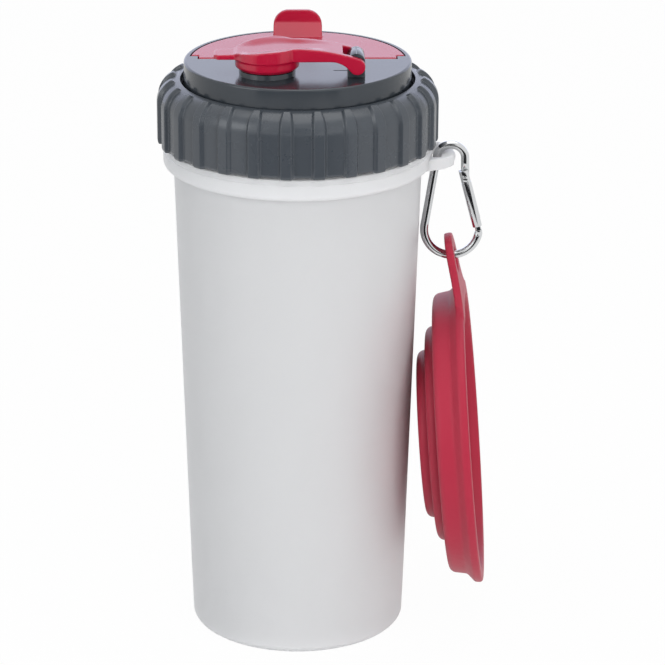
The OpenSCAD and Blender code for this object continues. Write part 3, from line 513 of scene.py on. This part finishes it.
# %% Outline of the ring's body
CORE_R, SHOULDER_R, RING_LOW, RING_TOP, LOW_ROUND = 54.7, 8.6, 207.0, 232.4, 1.5
RING_BORE, OPEN_R, CEILING, CHAMFER = 51.0, 46.7, 227.9, 0.3
SHOULDER_Z, SHOULDER_MID_R = RING_TOP - SHOULDER_R, CORE_R - SHOULDER_R
low_edge = ([(RING_BORE, RING_LOW + 0.4), (RING_BORE + 0.4, RING_LOW), (RING_BORE + 1.6, RING_LOW)]
            + arc(CORE_R - LOW_ROUND, RING_LOW + LOW_ROUND, LOW_ROUND, -90, -8, 8))
grip = [(CORE_R, z) for z in np.linspace(RING_LOW + LOW_ROUND, SHOULDER_Z, 10)]
shoulder = [point for start, end, steps in ((4, 56, 13), (57.5, 75.5, 12), (79, 85, 2))
            for point in arc(SHOULDER_MID_R, SHOULDER_Z, SHOULDER_R, start, end, steps)]
opening = (arc(OPEN_R + 0.55, RING_TOP - 0.55, 0.5, 100, 180, 5)
           + [(OPEN_R, CEILING + CHAMFER), (OPEN_R + CHAMFER, CEILING), (RING_BORE - CHAMFER, CEILING),
              (RING_BORE, CEILING - CHAMFER)])
print("ring outline:", len(low_edge + grip + shoulder + opening), "points")

# %% Turned body, with its steps closest together on the flanks of the ribs
RIBS, RIB_HEIGHT, RIB_PHASE, FOOT_SHARE, CREST_SHARE = 27, 1.5, -81.34, 0.25, 0.14
flank = [0.0, 0.05, 0.09, 0.105] + [0.118 + 0.012 * k for k in range(13)] + [0.28, 0.33, 0.41]
places_in_rib = [-t for t in reversed(flank[1:])] + flank + [0.5]
rib_turns = [(i + t) / RIBS + RIB_PHASE / 360 for i in range(RIBS) for t in places_in_rib]
ring = lathe("ribbed_screw_ring", low_edge + grip + shoulder + opening, crease_angle=50, turns=rib_turns)
print("ring body", len(ring.data.vertices), "points")

# %% What each point of the body carries
RIB_ROOT_R, RIB_END, RIB_FADE, CORNER_ROUND = 53.15, 73.0, 9.0, 0.45
NARROW_FROM, NARROW_OVER, NARROW_BY = 28.0, 40.0, 0.34


def rib_at(r, z):
    """How far out and up a rib pushes a point of the body, and the rib's share of its width."""
    rise = max(0.0, math.atan2(z - SHOULDER_Z, r - SHOULDER_MID_R)) if z > SHOULDER_Z else 0.0
    narrow = min(1.0, max(0.0, (math.degrees(rise) - NARROW_FROM) / NARROW_OVER))
    share = 1.0 - NARROW_BY * narrow ** 1.3
    if r <= RIB_ROOT_R and rise <= 0.1:
        return 0.0, 0.0, share
    fade = ease(0, math.radians(RIB_FADE), math.radians(RIB_END) - rise)
    if not fade or z >= RING_LOW + LOW_ROUND:
        return math.cos(rise) * fade, math.sin(rise) * fade, share
    # Near the lower edge a rib fills the rounded corner and ends with a small one of its own
    corner = math.asin(min(1.0, (RING_LOW + LOW_ROUND - z) / LOW_ROUND)) / math.radians(90)
    out = (CORE_R + RIB_HEIGHT - CORNER_ROUND * corner ** 2 - r) / RIB_HEIGHT
    return out, (RING_LOW + (1 - corner) * LOW_ROUND - z) / RIB_HEIGHT, share


pushes, shares = [], []
for vertex in ring.data.vertices:
    x, y, z = (c / MM for c in vertex.co)
    out, up, share = rib_at(math.hypot(x, y), z)
    turn = math.atan2(y, x)
    pushes += [out * math.cos(turn), out * math.sin(turn), up]
    shares.append(share)
ring.data.attributes.new("rib_push", "FLOAT_VECTOR", "POINT").data.foreach_set("vector", pushes)
ring.data.attributes.new("rib_width", "FLOAT", "POINT").data.foreach_set("value", shares)
print("points that a rib can push:", sum(1 for k in range(0, len(pushes), 3) if any(pushes[k:k + 3])))


# %% Helpers for Geometry Nodes
def node_tree(name, inputs):
    """A Geometry Nodes tree with one geometry in, named inputs, and one geometry out."""
    made = bpy.data.node_groups.new(name, "GeometryNodeTree")
    made.interface.new_socket("Geometry", in_out="INPUT", socket_type="NodeSocketGeometry")
    for kind, label, value in inputs:
        socket = made.interface.new_socket(label, in_out="INPUT", socket_type=kind)
        if value is not None:
            socket.default_value = value
    made.interface.new_socket("Geometry", in_out="OUTPUT", socket_type="NodeSocketGeometry")
    return made, made.nodes.new("NodeGroupInput"), made.nodes.new("NodeGroupOutput")


def carried(tree, kind, name):
    """Reads a value that the mesh carries at each point."""
    made = tree.nodes.new("GeometryNodeInputNamedAttribute")
    made.data_type = kind
    made.inputs["Name"].default_value = name
    return made.outputs["Attribute"]


def close_tree(tree, geometry, given, result):
    """Ends a tree as the export needs it: real geometry with its material."""
    real = tree.nodes.new("GeometryNodeRealizeInstances")
    dressed = tree.nodes.new("GeometryNodeSetMaterial")
    tree.links.new(geometry, real.inputs[0])
    tree.links.new(real.outputs[0], dressed.inputs["Geometry"])
    tree.links.new(given.outputs["Finish"], dressed.inputs["Material"])
    tree.links.new(dressed.outputs[0], result.inputs[0])


def apply_tree(made, tree, **values):
    """Runs a tree on a piece with its inputs set, and keeps the result as a plain mesh."""
    run = made.modifiers.new(tree.name, "NODES")
    run.node_group = tree
    for item in tree.interface.items_tree:
        if item.in_out == "INPUT" and item.name.replace(" ", "_") in values:
            run[item.identifier] = values[item.name.replace(" ", "_")]
    return plain(made)


print("Geometry Nodes helpers ready")

# %% Tree that raises the ribs
ribs, given, result = node_tree("grip_ribs", [
    ("NodeSocketFloat", "Ribs", 27.0), ("NodeSocketFloat", "First Rib", 0.0),
    ("NodeSocketFloat", "Height", 0.0015), ("NodeSocketFloat", "Foot Share", 0.25),
    ("NodeSocketFloat", "Crest Share", 0.14), ("NodeSocketMaterial", "Finish", None)])
spot = ribs.nodes.new("ShaderNodeSeparateXYZ")
ribs.links.new(ribs.nodes.new("GeometryNodeInputPosition").outputs[0], spot.inputs[0])
turn = calc(ribs, "ARCTAN2", spot.outputs["Y"], spot.outputs["X"])
turn = calc(ribs, "SUBTRACT", turn, given.outputs["First Rib"])
turn = calc(ribs, "DIVIDE", calc(ribs, "MULTIPLY", turn, given.outputs["Ribs"]), 2 * math.pi)
away = calc(ribs, "ABSOLUTE", calc(ribs, "SUBTRACT", turn, calc(ribs, "ROUND", turn)))
width_here = carried(ribs, "FLOAT", "rib_width")
profile = ribs.nodes.new("ShaderNodeMapRange")
profile.interpolation_type = "SMOOTHSTEP"
ribs.links.new(away, profile.inputs["Value"])
ribs.links.new(calc(ribs, "MULTIPLY", given.outputs["Foot Share"], width_here), profile.inputs["From Min"])
ribs.links.new(calc(ribs, "MULTIPLY", given.outputs["Crest Share"], width_here), profile.inputs["From Max"])
push = ribs.nodes.new("ShaderNodeVectorMath")
push.operation = "SCALE"
raise_by = calc(ribs, "MULTIPLY", profile.outputs["Result"], given.outputs["Height"])
ribs.links.new(carried(ribs, "FLOAT_VECTOR", "rib_push"), push.inputs[0])
ribs.links.new(raise_by, push.inputs["Scale"])
move = ribs.nodes.new("GeometryNodeSetPosition")
ribs.links.new(given.outputs["Geometry"], move.inputs["Geometry"])
ribs.links.new(push.outputs["Vector"], move.inputs["Offset"])
close_tree(ribs, move.outputs[0], given, result)
apply_tree(ring, ribs, Ribs=float(RIBS), First_Rib=math.radians(RIB_PHASE), Height=RIB_HEIGHT * MM,
           Foot_Share=FOOT_SHARE, Crest_Share=CREST_SHARE, Finish=slate_ring)
shade(ring.data, 62)
wear(ring, slate_ring, "ring", "ring_plastic", "screw_ring")
print("ribbed ring:", len(ring.data.polygons), "faces")

# %% [markdown]
# The thread is four short ridges inside the ring and four on the neck. The Screw modifier
# makes a thread too, but with blunt ends. So one ridge is drawn along its helix, with
# tapered ends, and a second small tree sets it round the axis, every second one lower.

# %% One ridge of the thread
LEAD, STARTS, RIDGE_ARC, RIDGE_WIDE, RIDGE_HIGH = 9.0, 4, 75.0, 1.9, 1.5
RIDGE_SECTION = [(-0.3, -0.5), (0.75, -0.38), (1.0, -0.22), (1.0, 0.22), (0.75, 0.38), (-0.3, 0.5)]


def ridge(name, wall_r, way, middle, steps=40):
    """One length of thread on a wall of radius wall_r, outwards (1) or inwards (-1)."""
    verts = []
    for i in range(steps + 1):
        a = math.radians(RIDGE_ARC * (i / steps - 0.5))
        taper = min(1.0, min(i, steps - i) / 5 + 0.05)
        z = middle + LEAD * a / (2 * math.pi)
        for out, up in RIDGE_SECTION:
            r = wall_r + way * (out * RIDGE_HIGH * taper if out > 0 else out)
            verts.append((r * math.cos(a), r * math.sin(a), z + up * RIDGE_WIDE))
    return piece(name, verts, tube_faces(steps + 1, len(RIDGE_SECTION)), 40)


ring_thread = ridge("ring_thread", RING_BORE, -1, 214.25)
neck_thread = ridge("neck_thread", NECK_R, 1, NECK_TOP - 4.5)
print("one ridge:", len(ring_thread.data.polygons), "faces")

# %% Tree that sets the ridge round the axis
repeat, given, result = node_tree("thread_round", [
    ("NodeSocketInt", "Count", 4), ("NodeSocketFloat", "Turn", math.pi / 2),
    ("NodeSocketFloat", "Drop", 0.00225), ("NodeSocketMaterial", "Finish", None)])
places = repeat.nodes.new("GeometryNodePoints")
repeat.links.new(given.outputs["Count"], places.inputs["Count"])
order = repeat.nodes.new("GeometryNodeInputIndex").outputs[0]
lower = calc(repeat, "MULTIPLY", calc(repeat, "MODULO", order, 2.0), given.outputs["Drop"])
where = repeat.nodes.new("ShaderNodeCombineXYZ")
repeat.links.new(calc(repeat, "MULTIPLY", lower, -1.0), where.inputs["Z"])
repeat.links.new(where.outputs[0], places.inputs["Position"])
spin = repeat.nodes.new("ShaderNodeCombineXYZ")
repeat.links.new(calc(repeat, "MULTIPLY", order, given.outputs["Turn"]), spin.inputs["Z"])
copies = repeat.nodes.new("GeometryNodeInstanceOnPoints")
repeat.links.new(places.outputs[0], copies.inputs["Points"])
repeat.links.new(given.outputs["Geometry"], copies.inputs["Instance"])
repeat.links.new(spin.outputs[0], copies.inputs["Rotation"])
close_tree(repeat, copies.outputs[0], given, result)
for thread, look, body, slot in ((ring_thread, slate_ring, "ring", "ring_plastic"),
                                 (neck_thread, milky, "cup", "cup_plastic")):
    apply_tree(thread, repeat, Count=STARTS, Turn=2 * math.pi / STARTS, Drop=LEAD / STARTS * MM, Finish=look)
    wear(thread, look, body, slot)
    print(thread.name, len(thread.data.polygons), "faces")

# %% [markdown]
# ## The snap hook
# One length of polished wire bent to a pear, with its ends pressed flat: one end carries the
# rivet of the gate, the other is the nose that the gate closes over. A curve with a round
# bevel gives the wire but not its flat ends. A sweep along the bent path whose section
# changes from round to flat gives wire and pressed ends in one mesh.

# %% Path of the wire, in the plane of the hook
HOOK_AT, HOOK_LEAN, WIRE_R = Vector((61.5, 0.0, 198.9)), 1.4, 1.7
TOP_BEND, LOW_BEND, SPAN, LOW_BEND_END = 5.7, 11.05, 29.9, 354.0
RIVET, GATE_LEAN, PAST_RIVET = (5.65, -8.5), 13.2, 1.69
NOSE_ROOT, NOSE_TIP = (10.99, -31.055), (10.45, -28.555)
hook_place = Matrix.Translation(HOOK_AT * MM) @ Matrix.Rotation(math.radians(-HOOK_LEAN), 4, "Y")


def between(start, end, shares):
    """Points of the straight line from start to end, at the given shares of it."""
    return [(start[0] + (end[0] - start[0]) * t, start[1] + (end[1] - start[1]) * t) for t in shares]


leg_turn = 180 - math.degrees(math.asin((LOW_BEND - TOP_BEND) / SPAN))
wire_start = (RIVET[0] + PAST_RIVET * math.sin(math.radians(GATE_LEAN)),
              RIVET[1] - PAST_RIVET * math.cos(math.radians(GATE_LEAN)))
top_bend = arc(0, 0, TOP_BEND, 0, leg_turn, 40)
low_bend = arc(0, -SPAN, LOW_BEND, leg_turn, LOW_BEND_END, 64)
wire_path = np.array(between(wire_start, RIVET, np.linspace(0, 1, 10))
                     + between(RIVET, (TOP_BEND, 0), np.linspace(0.08, 0.98, 16)) + top_bend
                     + between(top_bend[-1], low_bend[0], np.linspace(0.04, 0.96, 24)) + low_bend
                     + between(NOSE_ROOT, NOSE_TIP, np.linspace(0.15, 1.0, 9)))
run = np.r_[0, np.cumsum(np.linalg.norm(np.diff(wire_path, axis=0), axis=1))]
print("wire length", round(float(run[-1]), 1), "mm")

# %% Section of the wire, from flat to round and back
PRESSED, NOSE_HALF, TIP_HALF, TIP = 0.7, 1.25, 0.35, 0.8
ROUND_AFTER_RIVET, FLAT_AT_NOSE, SLIM_AT_NOSE = (5.2, 8.2), (2.2, 4.4), (1.5, 4.0)


def half_sizes(here, left):
    """Half the wire's width and thickness, at a run from the rivet's end and one left to the nose."""
    thick = PRESSED + (WIRE_R - PRESSED) * min(ease(*ROUND_AFTER_RIVET, here), ease(*FLAT_AT_NOSE, left))
    rounded_end = math.sqrt(max(0.04, WIRE_R ** 2 - max(0.0, WIRE_R - here) ** 2))
    wide = min(WIRE_R, rounded_end, NOSE_HALF + (WIRE_R - NOSE_HALF) * ease(*SLIM_AT_NOSE, left))
    if left < TIP:
        wide = min(wide, TIP_HALF + (NOSE_HALF - TIP_HALF) * math.sqrt(left / TIP))
    return wide, min(thick, wide)


SQUARE_WHEN_FLAT = 1.2


def sweep(name, path, sizes, sides, place):
    """A tube along a path in the x-z plane, with its half width and thickness at each point."""
    ahead = np.gradient(path, axis=0)
    ahead /= np.linalg.norm(ahead, axis=1)[:, None]
    verts = []
    for (px, pz), (ax, az), (wide, thick) in zip(path, ahead, sizes):
        squareness = 1.0 + SQUARE_WHEN_FLAT * (1 - min(1.0, thick / WIRE_R))
        for k in range(sides):
            a = 2 * math.pi * k / sides
            c, d = (math.copysign(abs(v) ** (1 / squareness), v) for v in (math.cos(a), math.sin(a)))
            verts.append((px - az * wide * c, thick * d, pz + ax * wide * c))
    return piece(name, verts, tube_faces(len(path), sides), 50, place)


sizes = [half_sizes(here, run[-1] - here) for here in run]
hook = sweep("snap_hook_wire", wire_path, sizes, sides=32, place=hook_place)
wear(hook, steel, "hook", "steel", "hook_body")
print("hook:", len(hook.data.polygons), "faces")

# %% Gate tube and rivet
gate = bevelled("gate_tube", "hook_gate", width=0.28, segments=3)
wear(gate, steel, "gate", "steel", "hook_gate")
rivet_half = [(0.8, 2.1), (1.15, 2.15), (1.05, 2.38), (0.8, 2.5), (0, 2.55)]
rivet_place = (hook_place @ Matrix.Translation(Vector((RIVET[0], 0, RIVET[1])) * MM)
               @ Matrix.Rotation(math.radians(90), 4, "X"))
rivet = lathe("gate_rivet_turned", [(r, -z) for r, z in reversed(rivet_half)] + rivet_half, steps=48,
              place=rivet_place)
wear(rivet, steel, "hook", "steel", "gate_rivet")
print("rivet:", len(rivet.data.polygons), "faces")

# %% [markdown]
# ## The folded bowl
# Silicone: a rim with a hanging loop, a middle ring and a base, joined by two thin webs
# that are folded now. It hangs a little off upright and turned, so all its pieces share one
# placing. The rim and its loop flow into each other, so they are remeshed and relaxed like
# the lever. The rings are turned. Each web bends between its two neighbours, which a cloth
# simulation could do as well, at far more cost for a fold that is only seen from the side.

# %% Placing of the bowl, and its rim
HANG, LOOP_TO_MIDDLE = Vector((62.5005, 0.0, 157.962)), Vector((77.5, 0, 3.871))
BOWL_LEAN, BOWL_YAW = 5.0, 3.5
bowl_place = (Matrix.Translation(HANG * MM) @ Matrix.Rotation(math.radians(-BOWL_YAW), 4, "Z")
              @ Matrix.Rotation(math.radians(90 - BOWL_LEAN), 4, "Y")
              @ Matrix.Translation(LOOP_TO_MIDDLE * MM))
bowl_rim = moulded("bowl_rim_moulding", "bowl_rim", voxel=0.55, rounds=6)
wear(bowl_rim, red_silicone, "bowl", "bowl_silicone", "bowl_rim")

# %% Middle ring and base
MIDDLE_R, MIDDLE_LOW, BASE_STAGE_R, BASE_STAGE_LOW = 44.4, -17.5, 34.7, -21.6
STAGE_HIGH, STAGE_WALL, FLOOR_THICK, EDGE_ROUND, LOW_CORNER = 13.5, 1.9, 1.9, 0.95, 3.0


def stage(r, low, shelf=None):
    """Outline of one stage of the bowl, from its low face: wall, and a shelf or a whole floor."""
    high, inner, top = low + STAGE_HIGH, r - STAGE_WALL, low + FLOOR_THICK
    wall = arc(inner + EDGE_ROUND, high - EDGE_ROUND, EDGE_ROUND, 180, 0) + [(r, low + 5)]
    wall += arc(r - LOW_CORNER, low + LOW_CORNER, LOW_CORNER, 0, -90, 10)
    if shelf is None:
        whole_floor = [(r - 8, low), (2, low), (0, low), (0, top), (2, top)]
        return wall + whole_floor + arc(inner - 2, top + 2, 2, -90, 0, 6)
    wall += arc(r - shelf + 0.9, low + EDGE_ROUND, EDGE_ROUND, -90, -270)
    return wall + arc(inner - 1, top + 1, 1, -90, 0, 5)


middle_ring = lathe("bowl_middle_turned", stage(MIDDLE_R, MIDDLE_LOW, shelf=5.4), 256, 50, bowl_place)
base_stage = lathe("bowl_base_turned", stage(BASE_STAGE_R, BASE_STAGE_LOW), 256, 50, bowl_place)
wear(middle_ring, red_silicone, "bowl_mid", "bowl_silicone", "bowl_middle_ring")
wear(base_stage, red_silicone, "bowl_bottom", "bowl_silicone", "bowl_base")
print("bowl stages:", len(middle_ring.data.polygons), len(base_stage.data.polygons), "faces")

# %% Folding webs
WEB_THICK = 0.9


def web(name, way):
    """A thin turned skin along a smooth path through points of (radius, height)."""
    path = np.array([way[0], *way, way[-1]])
    fine = []
    # A smooth curve through the points, four steps to each: its bends follow both neighbours
    for p0, p1, p2, p3 in zip(path, path[1:], path[2:], path[3:]):
        for t in np.linspace(0, 1, 5)[:-1]:
            fine.append(0.5 * (2 * p1 + (p2 - p0) * t + (2 * p0 - 5 * p1 + 4 * p2 - p3) * t ** 2
                               + (3 * p1 - p0 - 3 * p2 + p3) * t ** 3))
    fine = np.array(fine + [path[-1]])
    along = np.gradient(fine, axis=0)
    along /= np.linalg.norm(along, axis=1)[:, None]
    side = np.c_[-along[:, 1], along[:, 0]] * WEB_THICK / 2
    outline = [tuple(p) for p in fine + side] + [tuple(p) for p in (fine - side)[::-1]]
    return lathe(name, outline, 256, 70, bowl_place)


def web_between(made, upper_body, lower_body, start, end, *replaced):
    """Gives a web its finish, bakes its placing into its mesh and hides the solids it stands for; the stages
    above and below and the two heights are not used.
    """
    made.data.materials.append(red_silicone)
    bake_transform(made)
    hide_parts(*replaced)
    print(made.name, len(made.data.polygons), "faces")


outer_web = web("bowl_outer_web", [(51.1, -12.6), (49.8, -12.2), (48.8, -10.9), (48.0, -9.0), (47.2, -7.1),
                                   (46.4, -5.6), (45.4, -4.7), (44.4, -4.6), (43.6, -5.2)])
web_between(outer_web, "bowl", "bowl_mid", -12.6, -4.9, "bowl_outer_fold")
inner_web = web("bowl_inner_web", [(40.0, -16.6), (39.0, -16.2), (38.3, -14.9), (37.6, -13.0), (36.9, -11.1),
                                   (36.2, -9.6), (35.4, -8.8), (34.6, -8.7), (33.9, -9.3)])
web_between(inner_web, "bowl_mid", "bowl_bottom", -16.6, -9.0, "bowl_inner_fold")

# %% [markdown]
# ## Light and ground
# A pale floor and soft light from all round, as in a light tent. What the camera, a
# reflection or a see-through ray meets beyond the object is white. A bright white world
# alone could do that, but it would wash out every form. So the white shows only to those
# rays, and lamps shape the forms, at a level where a colour renders about as it is written.


# %% Floor that shows white and keeps the shadow
def seen_straight(tree):
    """1 for what the camera, a reflection or a see-through ray meets, and 0 for the rest."""
    rays = tree.nodes.new("ShaderNodeLightPath")
    seen = calc(tree, "MAXIMUM", rays.outputs["Is Camera Ray"], rays.outputs["Is Glossy Ray"])
    return calc(tree, "MAXIMUM", seen, rays.outputs["Is Transmission Ray"])


def mix_shaders(tree, share, first, second, ending):
    """Mixes two shaders and hands the result to the output of the tree."""
    mixed = tree.nodes.new("ShaderNodeMixShader")
    tree.links.new(share, mixed.inputs[0])
    tree.links.new(first.outputs[0], mixed.inputs[1])
    tree.links.new(second.outputs[0], mixed.inputs[2])
    tree.links.new(mixed.outputs[0], tree.nodes[ending].inputs["Surface"])


FLOOR_HALF, FLOOR_WHITE = 6.0, 0.97
floor_mesh = bpy.data.meshes.new("studio_floor")
corners = [(x * FLOOR_HALF, y * FLOOR_HALF, 0) for x, y in ((-1, -1), (1, -1), (1, 1), (-1, 1))]
floor_mesh.from_pydata(corners, [], [(0, 1, 2, 3)])
floor = in_scene("studio_floor", floor_mesh)
floor_look = bpy.data.materials.new("pale_floor")
floor_look.use_nodes = True
tree = floor_look.node_tree
matte = tree.nodes["Principled BSDF"]
matte.inputs["Base Color"].default_value = (0.86, 0.86, 0.86, 1)
matte.inputs["Roughness"].default_value = 0.9
glow = tree.nodes.new("ShaderNodeEmission")
glow.inputs["Strength"].default_value = 1.0
mix_shaders(tree, calc(tree, "MULTIPLY", seen_straight(tree), FLOOR_WHITE), matte, glow, "Material Output")
floor.data.materials.append(floor_look)
print("floor ready")

# %% World that shows white and lights softly
world = bpy.data.worlds.new("light_tent")
scene.world = world
world.use_nodes = True
tree = world.node_tree
back = tree.nodes["Background"]
back.inputs["Color"].default_value = (0.97, 0.98, 1.0, 1)
back.inputs["Strength"].default_value = 0.46
white = tree.nodes.new("ShaderNodeBackground")
white.inputs["Color"].default_value = (1, 1, 1, 1)
white.inputs["Strength"].default_value = 1.0
mix_shaders(tree, seen_straight(tree), back, white, "World Output")
print("world ready")

# %% [markdown]
# Polished steel only looks like steel when it reflects something dark. Behind the camera of
# a light tent is the dark room, which draws the dark line down the middle of the wire. The
# ground beyond the white table is dark too and darkens the upright fronts of ring and lid,
# and a bright cool wall behind lifts the tops. A picture of a studio could surround the
# scene, but three plain cards that only reflections see are easier to place.

# %% Dark room behind the camera
dark = bpy.data.materials.new("dark_room")
dark.use_nodes = True
dark_shader = dark.node_tree.nodes["Principled BSDF"]
dark_shader.inputs["Base Color"].default_value = (0.012, 0.012, 0.014, 1)
dark_shader.inputs["Roughness"].default_value = 1.0
dark_shader.inputs["Specular IOR Level"].default_value = 0.0


def reflected_only(name, verts, faces, look):
    """A stage piece that only reflections see."""
    mesh = bpy.data.meshes.new(name)
    mesh.from_pydata(verts, [], faces)
    card = in_scene(name, mesh)
    card.data.materials.append(look)
    for way in ("camera", "diffuse", "shadow", "transmission", "volume_scatter"):
        setattr(card, "visible_" + way, False)
    print(name, "ready")


ROOM_AT, ROOM_TILT, ROOM_R, ROOM_SIDES = Vector((0.0, -3.3, 1.30)), -20.0, 0.95, 32
room_place = Matrix.Translation(ROOM_AT) @ Matrix.Rotation(math.radians(ROOM_TILT), 4, "X")
room_rim = [tuple(room_place @ Vector((x, 0, z))) for x, z in arc(0, 0, ROOM_R, 0, 360, ROOM_SIDES)[:-1]]
reflected_only("dark_room", room_rim, [tuple(range(ROOM_SIDES))], dark)

# %% Dark ground beyond the white table, and a bright cool wall behind
TABLE_R, GROUND_R, GROUND_Z, GROUND_STEPS = 0.38, 4.0, 0.001, 26
near, far = ([(x, y, GROUND_Z) for x, y in arc(0, 0, r, -130, -50, GROUND_STEPS)]
             for r in (TABLE_R, GROUND_R))
ground_faces = [(k, k + 1, GROUND_STEPS + 2 + k, GROUND_STEPS + 1 + k) for k in range(GROUND_STEPS)]
reflected_only("dark_ground", near + far, ground_faces, dark)
wall_look = bpy.data.materials.new("bright_wall")
wall_look.use_nodes = True
wall_shader = wall_look.node_tree.nodes["Principled BSDF"]
wall_shader.inputs["Base Color"].default_value = (0, 0, 0, 1)
wall_shader.inputs["Emission Color"].default_value = (0.78, 0.82, 1.0, 1)
wall_shader.inputs["Emission Strength"].default_value = 1.8
WALL_HALF, WALL_Y, WALL_LOW, WALL_HIGH = 2.6, 2.4, 0.05, 2.4
wall_corners = [(x, WALL_Y, z) for x, z in ((-WALL_HALF, WALL_LOW), (WALL_HALF, WALL_LOW),
                                            (WALL_HALF, WALL_HIGH), (-WALL_HALF, WALL_HIGH))]
reflected_only("bright_wall", wall_corners, [(0, 1, 2, 3)], wall_look)


# %% Lamps
def softbox(name, place, aim, size, watts, tint=(1, 1, 1), glossy=True):
    """A large square lamp that looks at a point."""
    data = bpy.data.lights.new(name, "AREA")
    data.size = size
    data.energy = watts
    data.color = tint
    lamp = in_scene(name, data)
    lamp.location = place
    lamp.rotation_euler = (Vector(aim) - Vector(place)).to_track_quat("-Z", "Y").to_euler()
    lamp.visible_glossy = glossy


softbox("top_softbox", (0.05, -0.05, 1.35), (0, 0, 0.15), size=1.1, watts=5.5)
softbox("front_softbox", (0.45, -1.8, 0.9), (0.02, 0, 0.12), size=1.2, watts=9.3, glossy=False)
softbox("left_softbox", (-1.1, -0.8, 0.7), (0, 0, 0.12), size=0.7, watts=4.0, tint=(0.95, 0.98, 1.0))
softbox("right_softbox", (0.75, -1.6, 0.30), (0.02, 0, 0.08), size=0.5, watts=9.0, glossy=False)
